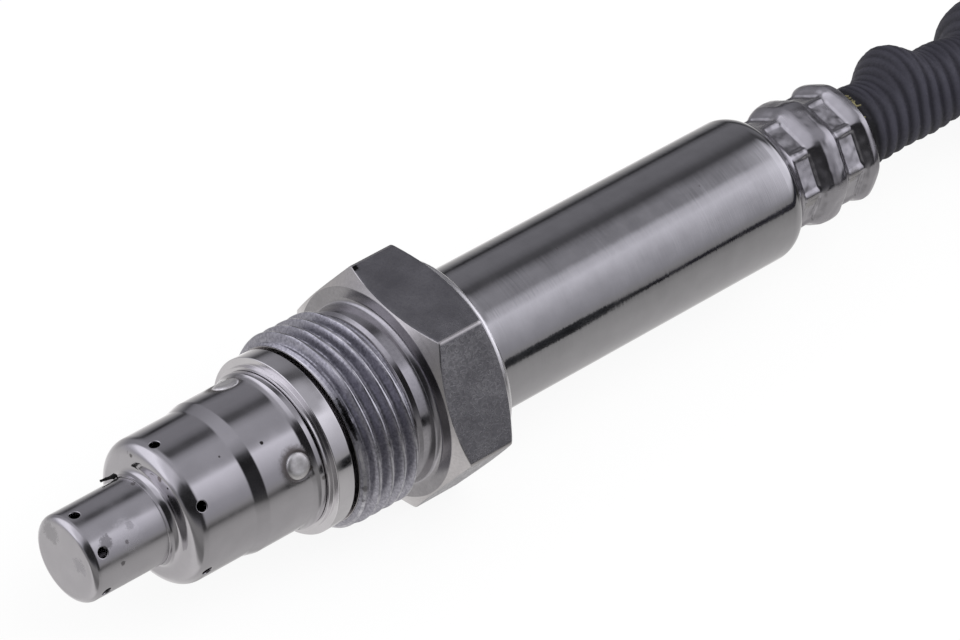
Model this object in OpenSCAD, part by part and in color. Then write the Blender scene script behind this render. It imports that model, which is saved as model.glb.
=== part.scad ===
// Nitrogen oxide exhaust sensor with a captive M20 gland nut.
// The sensor lies along X, its tip towards -X and its cable towards +X.
// X = 0 is the front of the seal seat, and the hexagon stands on Z = -nut_af / 2.

/* [Tip tube] */
// Outside diameter of the small tip tube
tip_d = 8.92; // [7.6:0.02:10]
// Length of the small tip tube in front of the large tube
tip_len = 9.6; // [7:0.1:12]
// Radius of the rounded edge at the very tip
tip_edge = 0.9; // [0.5:0.1:1.3]
// Wall thickness of the small tip tube
tip_wall = 0.4; // [0.3:0.05:0.5]
// Distance from the very tip to its ring of gas holes
tip_hole_at = 1.5; // [1.4:0.1:3]

/* [Large tube] */
// Outside diameter of the large tube's narrow part
tube_d = 14.78; // [13.6:0.02:15.2]
// Outside diameter of the large tube's widened rear part
sleeve_d = 15.46; // [15.3:0.02:16]
// Length of the narrow part, with its front shoulder
tube_len = 7; // [5:0.1:9]
// Length of the widened part, with the cone before it and the rim behind it
sleeve_len = 7.85; // [7:0.05:10]
// Length of the cone between the two diameters
sleeve_cone = 1.4; // [0.8:0.1:2]
// Radius of the front shoulder
shoulder_r = 1.6; // [1:0.1:2]
// Sheet thickness of the large tube
tube_wall = 0.5; // [0.35:0.05:0.6]
// Distance from the large tube's front face to its ring of gas holes
tube_hole_at = 1.65; // [1.6:0.05:3]
// Outside diameter of the flared rim against the seat
rim_d = 16.3; // [16.1:0.1:16.5]
// Thickness of the flared rim
rim_t = 0.5; // [0.4:0.05:0.6]
// Diameter of a spot weld
weld_d = 2.8; // [1.6:0.1:3]
// Distance from the seat's front to the ring of spot welds
weld_at = 2.1; // [1.8:0.1:3]

/* [Gas holes] */
// Diameter of a gas hole
hole_d = 1.05; // [0.8:0.05:1.3]
// Number of gas holes in each ring
hole_n = 6; // [4:1:8]
// Angle of the first gas hole about the axis
hole_turn = 17; // [0:1:59]

/* [Housing] */
// Outside diameter of the sealing collar
collar_d = 18.18; // [17.6:0.02:18.6]
// Position of the collar's front edge
collar_x = 1.2; // [1.1:0.05:1.4]
// Position of the collar's rear face
collar_end = 2.85; // [2.4:0.05:3]
// Diameter of the journal that the nut turns on
journal_d = 14.6; // [14.2:0.02:15]
// Diameter of the bore for the ceramic stack
bore_d = 10.4; // [9.8:0.1:10.8]
// Length of the spigot in front of the seat
spigot_len = 5.5; // [4.5:0.1:6]
// Length of the spigot that carries the rear shell
rear_spigot = 8; // [6:0.1:10]

/* [Gland nut] */
// Width of the hexagon across its flats
nut_af = 22; // [21:0.1:24]
// Outside diameter of the thread
thread_d = 20; // [19.4:0.1:20]
// Position of the nut's front face
nut_x = 3.35; // [3.2:0.05:3.6]
// Length from the front face to the end of the thread
thread_len = 6.95; // [5:0.05:7.3]
// Diameter of the plain neck between thread and hexagon
relief_d = 18.4; // [17.6:0.1:18.8]
// Length of the plain neck
relief_len = 1.3; // [0.8:0.1:1.6]
// Length of the hexagon's corner edges
hex_len = 5; // [4:0.1:7]
// Angle of the hexagon's chamfers from its faces
hex_chamfer = 30; // [25:1:35]
// Diameter of the round hub behind the hexagon
hub_d = 20.8; // [20:0.1:20.9]
// Length of the hub
hub_len = 0.8; // [0.6:0.1:1.4]
// Depth of the recess that covers the shell's front edge
recess_len = 1.7; // [1.2:0.1:2.4]

/* [Rear shell] */
// Outside diameter of the shell
shell_d = 15.16; // [14.8:0.02:15.3]
// Sheet thickness of the shell
shell_wall = 0.5; // [0.4:0.05:0.55]
// Length of the shell's straight part
shell_len = 40.95; // [36:0.05:50]
// Radius of the shell's rear shoulder
shell_round = 2.6; // [2.2:0.1:3]
// Diameter over the ridge between the crimp rows
neck_ridge_d = 13.16; // [12.9:0.02:13.4]
// Diameter over the rear lip
neck_lip_d = 12.8; // [12.6:0.02:13]
// Diameter between opposite crimp pads
pad_d = 11.1; // [10.95:0.05:11.3]
// Number of crimp pads in a row
pad_n = 8; // [6:1:10]
// Length of a crimp pad's flat floor
pad_len = 1.9; // [1.5:0.1:2.1]
// Distance between the two crimp rows
pad_pitch = 6; // [5.8:0.1:6.4]
// Angle of the first ridge between pads
pad_turn = 30; // [0:1:44]

/* [Ceramic stack] */
// Width of the sensing element
element_w = 4; // [3.4:0.1:4.4]
// Thickness of the sensing element
element_t = 1.2; // [0.8:0.1:1.4]
// Outside diameter of the shield round the sensing element
shield_d = 6.6; // [6.2:0.1:6.8]
// Wall thickness of the shield
shield_wall = 0.3; // [0.2:0.05:0.35]
// Length of the front ceramic
front_ceramic_len = 6.4; // [5:0.1:7]
// Length of each talc ring
talc_len = 3.6; // [3:0.1:4]
// Length of the middle ceramic
middle_ceramic_len = 4.6; // [4:0.1:5]
// Length of the rear ceramic
rear_ceramic_len = 6.6; // [5.5:0.1:7]
// Length of the packing ring
packing_len = 1.2; // [0.8:0.1:1.6]

/* [Contacts and leads] */
// Outside diameter of the contact carriers
carrier_d = 11.6; // [11:0.1:12.2]
// Length of the front contact carrier
carrier_front_len = 9; // [7:0.1:10]
// Length of the rear contact carrier
carrier_rear_len = 9; // [7:0.1:10]
// Width of a contact spring
spring_w = 0.6; // [0.4:0.1:0.8]
// Thickness of a contact spring
spring_t = 0.3; // [0.2:0.05:0.4]
// Diameter of the circle on which the leads leave
lead_circle = 5.6; // [5.2:0.1:5.8]
// Diameter of a lead's insulation
lead_d = 1.4; // [1.1:0.1:1.5]
// Diameter of a crimp barrel
barrel_d = 1.6; // [1.5:0.1:1.7]
// Length of the spring ring round the front carrier
clip_len = 3; // [2:0.1:4]
// Width of a slot in the spring ring
clip_slot = 1.2; // [0.8:0.1:2]

/* [Cable] */
// Outside diameter of the conduit
conduit_d = 9; // [8.6:0.1:9]
// Radius of the coil, at the middle of its turns
coil_r = 46; // [44:1:50]

/* [Plug] */
// Width of the plug body
plug_w = 24; // [20:1:28]
// Length of the plug body
plug_len = 34; // [28:1:40]
// Wall thickness of the plug body
plug_wall = 1.8; // [1.4:0.1:2.2]
// Length of the boot behind the plug
boot_len = 10; // [8:0.5:14]
// Diameter of a plug pin
pin_d = 1.5; // [1:0.1:1.8]
// Spacing of the plug pins
pin_pitch = 4; // [3.4:0.1:4.4]

/* [Hidden] */
slip = 0.04;
run_gap = 0.05;
free_gap = 0.35;
seat_gap = 0.05;
clip_floor = 0.35;
rim_sweep = 150;
seat_round = 0.25;
seat_sweep = 60;
round_end = 28;
fine = 96;
mid = 48;
tip_steel = "silver";
dull_steel = "gray";
ceramic_white = "ivory";
talc_grey = "lightgray";
nickel = "gainsboro";
rubber_black = "black";
conduit_black = "darkslategray";
plug_grey = "dimgray";

tube_x = rim_t / 2 - sleeve_len - tube_len;
sleeve_x = rim_t / 2 - sleeve_len;
tip_x = tube_x - tip_len;
tip_r = tip_d / 2;
tube_r = tube_d / 2;
sleeve_r = sleeve_d / 2;
rim_end = rim_t / 2;
seat_x = rim_end + seat_gap;
spigot_r = sleeve_r - tube_wall - slip;
collar_r = collar_d / 2;
step_r = collar_r - 0.55;
journal_r = journal_d / 2;
shell_r = shell_d / 2;
shell_in = shell_r - shell_wall;
hex_r = nut_af / 2 / cos(30);
thread_r = thread_d / 2;
thread_end = nut_x + thread_len;
relief_r = relief_d / 2;
relief_end = thread_end + 0.2 + relief_len;
fillet_r = thread_r + 0.15 - relief_r;
cone_x = relief_end + fillet_r;
cone_r = relief_r + fillet_r;
hex_x = cone_x + (hex_r - cone_r) * tan(hex_chamfer);
hex_end = hex_x + hex_len;
hub_r = hub_d / 2;
hub_x = hex_end + (hex_r - hub_r) * tan(hex_chamfer);
nut_end = hub_x + hub_len;
nut_bore = journal_r + run_gap;
recess_r = shell_r + free_gap;
recess_x = nut_end - recess_len;
shell_x = recess_x + free_gap;
shell_round_x = shell_x + shell_len;
neck_x = shell_round_x + shell_round;
neck_r = pad_d / 2 / cos(180 / pad_n) - 0.04;
neck_bore = conduit_d / 2 + 0.55;
pad_1 = neck_x + 0.5;
pad_2 = pad_1 + pad_pitch;
neck_end = pad_2 + pad_len + 2.1;
lip_bore = neck_lip_d / 2 - shell_wall;
flange_r = tube_r - tube_wall - slip;
shield_r = shield_d / 2;
bore_r = bore_d / 2;
stack_x = -spigot_len + 3;
talc_1 = stack_x + front_ceramic_len + seat_gap;
ceramic_2 = talc_1 + talc_len + seat_gap;
talc_2 = ceramic_2 + middle_ceramic_len + seat_gap;
ceramic_3 = talc_2 + talc_len + seat_gap;
packing_x = ceramic_3 + rear_ceramic_len + seat_gap;
housing_end = shell_x - seat_gap + rear_spigot;
stack_r = bore_r - slip;
element_x = tip_x + 6;
carrier_1 = housing_end + 1;
carrier_2 = carrier_1 + carrier_front_len + seat_gap;
element_end = carrier_1 + carrier_front_len - 1;
carrier_r = carrier_d / 2;
lead_x = carrier_2 + carrier_rear_len + seat_gap;
grommet_x = shell_round_x - 6;
grommet_end = neck_x + 6.5;
tail_r = conduit_d / 2;
sleeve_start = neck_x + 0.3;
lead_n = 8;

floor_z = -nut_af / 2;
turn_z = floor_z + conduit_d / 2;
coil_x = 142;
coil_top = floor_z + 2.02 * conduit_d;
coil_y = -coil_r;
tail_y = -2 * coil_r;
plug_z = -1;
plug_x = 86;
plug_h = 2 * (plug_z - floor_z);
plug_floor_x = plug_x - 0.45 * plug_len;
boot_x = plug_x + boot_len;
run_route = [[grommet_end + seat_gap, 0, 0], [78, 0, 0], [86, 0, 0], [91, 0, -0.3], [96, 0, -1.3],
    [102, 0, -3.3], [107, 0, -5.2], [112, 0, -6.2], [118, 0, -6.5], [126, 0, -6.5], [132, 0, -6.5]];
tail_route = [[132, tail_y, 2.7], [122, tail_y, 2.7], [117, tail_y, 2.3], [110, tail_y, 0.9],
    [103, tail_y, -0.6], [98, tail_y, -1], [boot_x + seat_gap, tail_y, -1]];

// Points of an arc in a profile of [x, radius] pairs.
function arc(x, r, radius, from, to, steps = 6) =
    [for (i = [0:steps]) let (a = from + (to - from) * i / steps) [x + radius * cos(a), r + radius * sin(a)]];

// A body turned about the X axis from [x, radius] pairs.
module turned(profile, facets = fine) {
    rotate([0, 90, 0]) rotate_extrude($fn = facets) polygon([for (p = profile) [p[1], p[0]]]);
}

// A round bar or bore along X, at a radius and angle about the axis.
module rod(from, to, radius, out = 0, turn = 0, facets = mid) {
    rotate([turn, 0, 0]) translate([from, out, 0]) rotate([0, 90, 0])
        cylinder(h = to - from, r = radius, $fn = facets);
}

// A ring of radial drills through a tube's wall.
module gas_holes(at, reach, start = 0) {
    for (i = [0:hole_n - 1]) rotate([hole_turn + 360 / hole_n * i, 0, 0]) translate([at, start, 0])
        rotate([-90, 0, 0]) cylinder(h = reach - start, r = hole_d / 2, $fn = 24);
}

// The slot that the flat sensing element passes through.
module element_slot(from, to) {
    translate([from - 1, -element_w / 2 - slip, -element_t / 2 - slip])
        cube([to - from + 2, element_w + 2 * slip, element_t + 2 * slip]);
}

// A closed tube swept along a route, with a flat face at each end.
module swept(route, radius, sides = 10) {
    count = len(route);
    ahead = [for (i = [0:count - 1])
        let (d = route[min(i + 1, count - 1)] - route[max(i - 1, 0)]) d / norm(d)];
    rings = [for (i = [0:count - 1]) for (k = [0:sides - 1])
        let (a = 360 * k / sides, up = cross(ahead[i], [0, 1, 0]))
        route[i] + radius * (cos(a) * [0, 1, 0] + sin(a) * up)];
    skin = [for (i = [0:count - 2]) for (k = [0:sides - 1])
        let (n = (k + 1) % sides, a = i * sides, b = a + sides) [a + k, b + k, b + n, a + n]];
    start = [for (k = [0:sides - 1]) k];
    end = [for (k = [sides - 1:-1:0]) (count - 1) * sides + k];
    polyhedron(points = rings, faces = concat(skin, [start, end]), convexity = 6);
}

// Thin closed tube whose tip stands out of the large tube.
module inner_tube() {
    inner = tip_r - tip_wall;
    flange_x = -spigot_len - seat_gap;
    color(tip_steel) difference() {
        turned(concat([[tip_x, 0]], arc(tip_x + tip_edge, tip_r - tip_edge, tip_edge, 180, 90),
            [[flange_x - 0.5, tip_r], [flange_x - 0.5, flange_r], [flange_x, flange_r], [flange_x, inner],
             [tip_x + tip_edge, inner], [tip_x + tip_wall, inner - tip_edge + tip_wall],
             [tip_x + tip_wall, 0]]));
        gas_holes(tip_x + tip_hole_at, tip_r + 1);
        gas_holes(flange_x - 2.2, tip_r + 0.4);
    }
}

// Deep-drawn outer tube with its shoulder, cone, flared rim and spot welds.
module outer_tube() {
    inner = tube_r - tube_wall;
    wide = sleeve_r - tube_wall;
    color(tip_steel) difference() {
        union() {
            turned(concat([[tube_x, tip_r + slip]],
                arc(tube_x + shoulder_r, tube_r - shoulder_r, shoulder_r, 180, 90),
                [[sleeve_x, tube_r], [sleeve_x + 0.3, tube_r + 0.04],
                 [sleeve_x + sleeve_cone - 0.3, sleeve_r - 0.04], [sleeve_x + sleeve_cone, sleeve_r],
                 [-rim_t / 2 - 0.3, sleeve_r], [-rim_t / 2 - 0.05, sleeve_r + 0.15]],
                arc(0, rim_d / 2 - rim_t / 2, rim_t / 2, rim_sweep, 0),
                [[rim_end, wide], [sleeve_x + sleeve_cone, wide], [sleeve_x, inner],
                 [tube_x + shoulder_r, inner], [tube_x + tube_wall, inner - shoulder_r + tube_wall],
                 [tube_x + tube_wall, tip_r + slip]]));
            for (i = [0:3]) rotate([57 + 90 * i, 0, 0]) translate([-weld_at, sleeve_r - 0.3, 0])
                rotate([-90, 0, 0]) cylinder(h = 0.36, r1 = weld_d / 2, r2 = weld_d / 2 - 0.3, $fn = 24);
        }
        gas_holes(tube_x + tube_hole_at, tube_r + 1, tip_r + 0.4);
    }
}

// Perforated shield close round the sensing element.
module element_shield() {
    from = element_x - 1.5;
    color(tip_steel) difference() {
        turned([[from, 1], [from, shield_r], [stack_x - seat_gap, shield_r],
            [stack_x - seat_gap, shield_r - shield_wall], [from + shield_wall, shield_r - shield_wall],
            [from + shield_wall, 1]]);
        gas_holes(from + 3, shield_r + 0.2);
    }
}

// Flat layered ceramic element, from inside the tip to the contacts.
module sensing_element() {
    color(ceramic_white) translate([element_x, -element_w / 2, -element_t / 2])
        cube([element_end - element_x, element_w, element_t]);
}

// Turned housing with the sealing collar, the nut's journal and a spigot at each end.
module sensor_housing() {
    color(tip_steel) turned(concat(
        [[-spigot_len, shield_r + slip], [-spigot_len, spigot_r - 0.2], [-spigot_len + 0.2, spigot_r],
         [seat_x, spigot_r], [seat_x, step_r - 0.35]],
        arc(seat_x + seat_round, step_r - seat_round, seat_round, 180, seat_sweep, 4),
        [[seat_x + 2 * seat_round, step_r + 0.04], [collar_x - 0.2, collar_r - 0.18], [collar_x, collar_r],
         [collar_end - 0.15, collar_r], [collar_end, collar_r - 0.15], [collar_end, journal_r],
         [shell_x - seat_gap, journal_r], [shell_x - seat_gap, shell_in - slip],
         [housing_end - 0.4, shell_in - slip], [housing_end, shell_in - slip - 0.4], [housing_end, bore_r],
         [stack_x, bore_r], [stack_x, shield_r + slip]]));
}

// Captive screw with the thread, its plain neck, the chamfered hexagon and a round hub.
module gland_nut() {
    color(dull_steel) difference() {
        union() {
            turned(concat([[nut_x, nut_bore - 0.5], [nut_x, thread_r - 0.85], [nut_x + 0.85, thread_r],
                [thread_end, thread_r], [thread_end + 0.2, relief_r]],
                arc(relief_end, relief_r + fillet_r, fillet_r, 270, 360),
                [[cone_x, nut_bore - 0.5]]));
            intersection() {
                turned([[cone_x - 0.2, nut_bore - 0.5], [cone_x - 0.2, relief_r], [cone_x, cone_r],
                    [hex_x, hex_r], [hex_end, hex_r], [hub_x, hub_r], [hub_x, nut_bore - 0.5]]);
                rotate([0, 90, 0]) rotate([0, 0, 30]) cylinder(h = hub_x, r = hex_r, $fn = 6);
            }
            turned(concat([[hub_x - 0.4, nut_bore - 0.5], [hub_x - 0.4, hub_r - 0.02]],
                arc(nut_end - 0.5, hub_r - 0.52, 0.5, 90, 0), [[nut_end, nut_bore - 0.5]]));
        }
        rod(nut_x - 1, nut_end + 1, nut_bore, facets = fine);
        rod(recess_x, nut_end + 1, recess_r, facets = fine);
    }
}

// A ceramic or talc disc of the stack, with the element's slot.
module stack_disc(from, length, radius) {
    difference() {
        rod(from, from + length, radius, facets = fine);
        element_slot(from, from + length);
    }
}

module front_ceramic() {
    color(ceramic_white) stack_disc(stack_x, front_ceramic_len, stack_r);
}

module talc_ring_front() {
    color(talc_grey) stack_disc(talc_1, talc_len, stack_r);
}

module middle_ceramic() {
    color(ceramic_white) stack_disc(ceramic_2, middle_ceramic_len, stack_r);
}

module talc_ring_rear() {
    color(talc_grey) stack_disc(talc_2, talc_len, stack_r);
}

module rear_ceramic() {
    color(ceramic_white) stack_disc(ceramic_3, rear_ceramic_len, stack_r);
}

// Metal ring pressed in behind the ceramic stack.
module packing_ring() {
    color(nickel) difference() {
        rod(packing_x, packing_x + packing_len, stack_r, facets = fine);
        rod(packing_x - 1, packing_x + packing_len + 1, stack_r - 1.2, facets = fine);
    }
}

// Front carrier: its slot holds the contact springs against the element.
module contact_carrier_front() {
    slot_h = element_t + 2 * spring_t + 0.3;
    color(ceramic_white) difference() {
        rod(carrier_1, carrier_1 + carrier_front_len, carrier_r, facets = fine);
        translate([carrier_1 - 1, -element_w / 2 - 0.3, -slot_h / 2])
            cube([carrier_front_len + 2, element_w + 0.6, slot_h]);
    }
}

// Rear carrier, with a hole for each crimp barrel.
module contact_carrier_rear() {
    color(ceramic_white) difference() {
        rod(carrier_2, carrier_2 + carrier_rear_len, carrier_r, facets = fine);
        for (i = [0:lead_n - 1]) rod(carrier_2 + 1, lead_x + 1, barrel_d / 2 + slip, lead_circle / 2,
            360 / lead_n * i, 24);
    }
}

// Four contact springs on each face of the element.
module contact_springs() {
    color(nickel) for (side = [-1, 1]) for (i = [0:3])
        translate([carrier_1 + 0.5, (i - 1.5) * element_w / 4 - spring_w / 2,
            side * (element_t / 2 + spring_t / 2 + slip) - spring_t / 2])
            cube([carrier_front_len - 1.5, spring_w, spring_t]);
}

// Spring ring that centres the carriers in the shell.
module carrier_clip() {
    at = carrier_1 + carrier_front_len / 2;
    color(nickel) difference() {
        rod(at - clip_len / 2, at + clip_len / 2, shell_in - slip, facets = fine);
        rod(at - clip_len, at + clip_len, carrier_r + slip, facets = fine);
        for (i = [0:5]) rotate([60 * i, 0, 0])
            translate([at - clip_len / 4, carrier_r + clip_floor, -clip_slot / 2])
            cube([clip_len, shell_r, clip_slot]);
    }
}

module crimp_barrels() {
    color(nickel) for (i = [0:lead_n - 1])
        rod(carrier_2 + 1 + slip, lead_x - seat_gap, barrel_d / 2, lead_circle / 2, 360 / lead_n * i, 24);
}

module lead_wires() {
    color("white") for (i = [0:lead_n - 1])
        rod(lead_x, grommet_end, lead_d / 2, lead_circle / 2, 360 / lead_n * i, 24);
}

// Tool mark of one crimp jaw: a flat floor with a steep front wall and a long rear slope.
module crimp_jaw(at, rear) {
    floor_r = pad_d / 2;
    top = neck_ridge_d / 2 + 1;
    translate([0, 0, -3]) linear_extrude(height = 6) polygon([[at - 0.35, top], [at - 0.25, rear],
        [at + 0.05, floor_r + 0.12], [at + 0.25, floor_r], [at + pad_len - 0.2, floor_r],
        [at + pad_len + 0.15, floor_r + 0.12], [at + pad_len + 1.6, rear], [at + pad_len + 1.7, top]]);
}

// Deep-drawn shell with a round shoulder and a neck crimped in two rows of flat pads.
module rear_shell() {
    ridge_r = neck_ridge_d / 2;
    lip_r = neck_lip_d / 2;
    ridge_x = pad_2 - 1.35;
    inner_round = shell_round - shell_wall;
    color(tip_steel) difference() {
        turned(concat([[shell_x, shell_in], [shell_x, shell_r - 0.12], [shell_x + 0.12, shell_r]],
            arc(shell_round_x, shell_r - shell_round, shell_round, 90, round_end, 8),
            [[neck_x - 0.15, neck_r + 0.22], [neck_x + 0.2, neck_r + 0.12], [pad_1, neck_r],
             [pad_1 + pad_len + 0.1, neck_r]],
            [[ridge_x - 0.65, ridge_r - 0.08], [ridge_x - 0.3, ridge_r], [ridge_x + 0.3, ridge_r],
             [ridge_x + 0.65, ridge_r - 0.1], [pad_2, neck_r], [pad_2 + pad_len + 0.1, neck_r],
             [neck_end - 0.7, lip_r - 0.05], [neck_end - 0.4, lip_r], [neck_end - 0.15, lip_r - 0.02],
             [neck_end, lip_r - 0.15], [neck_end, lip_bore], [neck_end - 0.8, lip_bore],
             [neck_end - 2, neck_bore], [neck_x - 0.1, neck_bore]],
            arc(shell_round_x, shell_in - inner_round, inner_round, round_end - 3, 90, 6)));
        for (i = [0:pad_n - 1]) rotate([pad_turn + 360 / pad_n * (i + 0.5), 0, 0]) {
            crimp_jaw(pad_1, ridge_r);
            crimp_jaw(pad_2, lip_r);
        }
    }
}

// Moulded seal that fills the shell's rear end and lets the leads through.
module cable_grommet() {
    body_r = shell_in - slip;
    round_r = shell_round - shell_wall;
    color(rubber_black) difference() {
        turned(concat([[grommet_x, 0], [grommet_x, body_r - 0.4], [grommet_x + 0.4, body_r]],
            arc(shell_round_x - 0.1, body_r - round_r, round_r, 90, round_end + 2, 6),
            [[neck_x - 0.4, tail_r - slip], [grommet_end, tail_r - slip], [grommet_end, 0]]));
        for (i = [0:lead_n - 1])
            rod(grommet_x - 1, grommet_end + 1, lead_d / 2 + slip, lead_circle / 2, 360 / lead_n * i, 24);
    }
}

// Glass-fibre sleeve between the conduit and the crimped neck.
module wire_sleeve() {
    color("khaki") difference() {
        rod(sleeve_start, neck_end + 0.3, neck_bore - slip, facets = fine);
        rod(sleeve_start - 1, neck_end + 1, tail_r + slip, facets = fine);
    }
}

module conduit_run() {
    color(conduit_black) swept(run_route, conduit_d / 2 - 0.02);
}

module conduit_coil() {
    half = conduit_d / 2;
    edge = half * 0.6;
    color(conduit_black) translate([coil_x, coil_y, 0]) rotate_extrude($fn = fine)
        polygon([[coil_r - half, floor_z + edge], [coil_r - edge, floor_z], [coil_r + edge, floor_z],
            [coil_r + half, floor_z + edge], [coil_r + half, coil_top - edge], [coil_r + edge, coil_top],
            [coil_r - edge, coil_top], [coil_r - half, coil_top - edge]]);
}

module conduit_tail() {
    color(conduit_black) swept(tail_route, conduit_d / 2 - 0.02);
}

// A box along X with rounded long edges, centred on the plug's axis.
module rounded_bar(from, to, w, h, r) {
    translate([from, tail_y, plug_z]) rotate([90, 0, 90]) linear_extrude(height = to - from) union() {
        square([w - 2 * r, h], center = true);
        square([w, h - 2 * r], center = true);
        for (sy = [-1, 1]) for (sz = [-1, 1])
            translate([sy * (w / 2 - r), sz * (h / 2 - r)]) circle(r = r, $fn = 32);
    }
}

// Places its children at each of the eight pins, in two rows.
module at_pins() {
    for (row = [-1, 1]) for (i = [0:3])
        translate([0, tail_y + (i - 1.5) * pin_pitch, plug_z + row * pin_pitch / 2]) children();
}

// Plug housing, open towards -X, with grip ribs and a latch bridge.
module plug_body() {
    w = plug_w;
    h = plug_h - 3;
    front = plug_x - plug_len;
    color(plug_grey) difference() {
        union() {
            rounded_bar(front, plug_x, w, h, 3);
            rounded_bar(front, front + 3, w + 2, plug_h, 3.5);
            rounded_bar(plug_x - 6, plug_x - 3, w + 2, plug_h, 3.5);
            for (i = [0:3])
                rounded_bar(plug_floor_x + i * 2.4, plug_floor_x + i * 2.4 + 1, w + 1, h - 3, 2);
            translate([plug_floor_x, tail_y - 4, plug_z + h / 2 - 1]) cube([8, 8, 2.5]);
        }
        rounded_bar(front - 1, plug_floor_x, w - 2 * plug_wall, h - 2 * plug_wall, 2);
        rounded_bar(plug_floor_x - 1, plug_x - 3, w - 4 * plug_wall, h - 4 * plug_wall, 1.5);
        translate([0, tail_y, plug_z]) rod(plug_x - 4, plug_x + 1, conduit_d / 2 - 0.5);
    }
}

// Insert that carries the pins.
module plug_insert() {
    walls = 4 * plug_wall + 2 * slip;
    color("ivory") difference() {
        rounded_bar(plug_floor_x - 3, plug_x - 3 - slip, plug_w - walls, plug_h - 3 - walls, 1.4);
        at_pins() rod(plug_floor_x - 4, plug_x, pin_d / 2 + slip, facets = 24);
    }
}

// Eight round pins in two rows.
module plug_pins() {
    color(nickel) at_pins() rod(plug_floor_x - 12, plug_x - 3.2, pin_d / 2, facets = 24);
}

// Ring seal inside the plug's mouth.
module plug_seal() {
    walls = 2 * plug_wall + 2 * slip;
    bore = 4 * plug_wall - 2 * slip;
    color("orangered") difference() {
        rounded_bar(plug_floor_x - 3, plug_floor_x - seat_gap, plug_w - walls, plug_h - 3 - walls, 1.9);
        rounded_bar(plug_floor_x - 4, plug_floor_x + 1, plug_w - bore, plug_h - 3 - bore, 1.5);
    }
}

// Rubber boot where the conduit enters the plug.
module plug_boot() {
    color(rubber_black) translate([0, tail_y, plug_z])
        turned([[plug_x + seat_gap, 0], [plug_x + seat_gap, conduit_d / 2 + 2.4],
            [plug_x + 2, conduit_d / 2 + 2.6], [boot_x - 1, conduit_d / 2 + 1], [boot_x, conduit_d / 2 + 0.7],
            [boot_x, 0]], mid);
}

inner_tube();
outer_tube();
element_shield();
sensing_element();
sensor_housing();
gland_nut();
front_ceramic();
talc_ring_front();
middle_ceramic();
talc_ring_rear();
rear_ceramic();
packing_ring();
contact_carrier_front();
contact_carrier_rear();
contact_springs();
carrier_clip();
crimp_barrels();
lead_wires();
rear_shell();
cable_grommet();
wire_sleeve();
conduit_run();
conduit_coil();
conduit_tail();
plug_body();
plug_insert();
plug_pins();
plug_seal();
plug_boot();
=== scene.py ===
"""Exhaust nitrogen oxide sensor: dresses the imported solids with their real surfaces, light and camera.

Sizes in this file are millimetres until a mesh is written, where they become metres. The probe lies along X, its
tip towards -X and its cable towards +X, and angles about the axis are counted from +Y towards +Z.
"""

import logging
import math
import random
from collections.abc import Sequence
from dataclasses import dataclass
from enum import Enum, IntEnum

import bmesh
import bpy
from mathutils import Matrix, Vector, noise


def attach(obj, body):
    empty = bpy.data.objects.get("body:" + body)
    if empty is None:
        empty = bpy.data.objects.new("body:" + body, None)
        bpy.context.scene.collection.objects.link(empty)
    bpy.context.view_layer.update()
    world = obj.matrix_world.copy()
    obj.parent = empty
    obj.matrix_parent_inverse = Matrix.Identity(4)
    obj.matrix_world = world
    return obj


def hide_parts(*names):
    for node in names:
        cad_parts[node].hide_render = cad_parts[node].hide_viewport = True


MM = 0.001
COLUMNS = 192
ON_AXIS = 1e-6
# The mix node has twin sockets for each kind of data, and these are the numbers of the colour ones.
MIX_A, MIX_B, MIX_RESULT = 6, 7, 2
Outline = list[tuple[float, float]]
Pairs = Sequence[tuple[float, float]]
Socket = bpy.types.NodeSocket
Tree = bpy.types.NodeTree
LOG = logging.getLogger("sensor")


# Colour and nodes


def linear(code: str) -> tuple[float, float, float, float]:
    """Turns an sRGB hex colour into linear light.

    Args:
        code: six hex digits.

    Returns:
        Red, green, blue and an alpha of 1.
    """
    parts = [int(code[i : i + 2], 16) / 255 for i in (0, 2, 4)]
    red, green, blue = [p / 12.92 if p <= 0.04045 else ((p + 0.055) / 1.055) ** 2.4 for p in parts]
    return (red, green, blue, 1.0)


def add_node(tree: Tree, kind: str, settings: dict | None = None, links: dict | None = None,
             stops: Pairs = ()) -> bpy.types.Node:
    """Adds one node with its settings and links.

    Args:
        tree: the node tree that it joins.
        kind: the node's type name.
        settings: attribute or input names, or input numbers, and their values.
        links: input names or numbers, and the sockets that feed them.
        stops: a ramp's positions from 0 to 1 with their grey levels.

    Returns:
        The new node.
    """
    node = tree.nodes.new(kind)
    for key, value in (settings or {}).items():
        if isinstance(key, str) and hasattr(node, key):
            setattr(node, key, value)
        else:
            node.inputs[key].default_value = value
    for key, socket in (links or {}).items():
        tree.links.new(socket, node.inputs[key])
    elements = node.color_ramp.elements if stops else ()
    while len(elements) < len(stops):
        elements.new(0.5)
    for element, (position, level) in zip(elements, stops):
        element.position = position
        element.color = (level, level, level, 1.0)
    return node


def new_material(name: str) -> tuple[bpy.types.Material, Tree, bpy.types.Node]:
    """Makes an empty material.

    Args:
        name: the material's name.

    Returns:
        The material, its tree and its Principled shader.
    """
    material = bpy.data.materials.new(name)
    material.use_nodes = True
    tree = material.node_tree
    tree.nodes.clear()
    shader = add_node(tree, "ShaderNodeBsdfPrincipled")
    add_node(tree, "ShaderNodeOutputMaterial", links={"Surface": shader.outputs["BSDF"]})
    return material, tree, shader


def connect(tree: Tree, shader: bpy.types.Node, colour: Socket, roughness: Socket, normal: Socket) -> None:
    """Feeds the three inputs of a shader that vary over the surface."""
    for name, socket in (("Base Color", colour), ("Roughness", roughness), ("Normal", normal)):
        tree.links.new(socket, shader.inputs[name])


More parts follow.
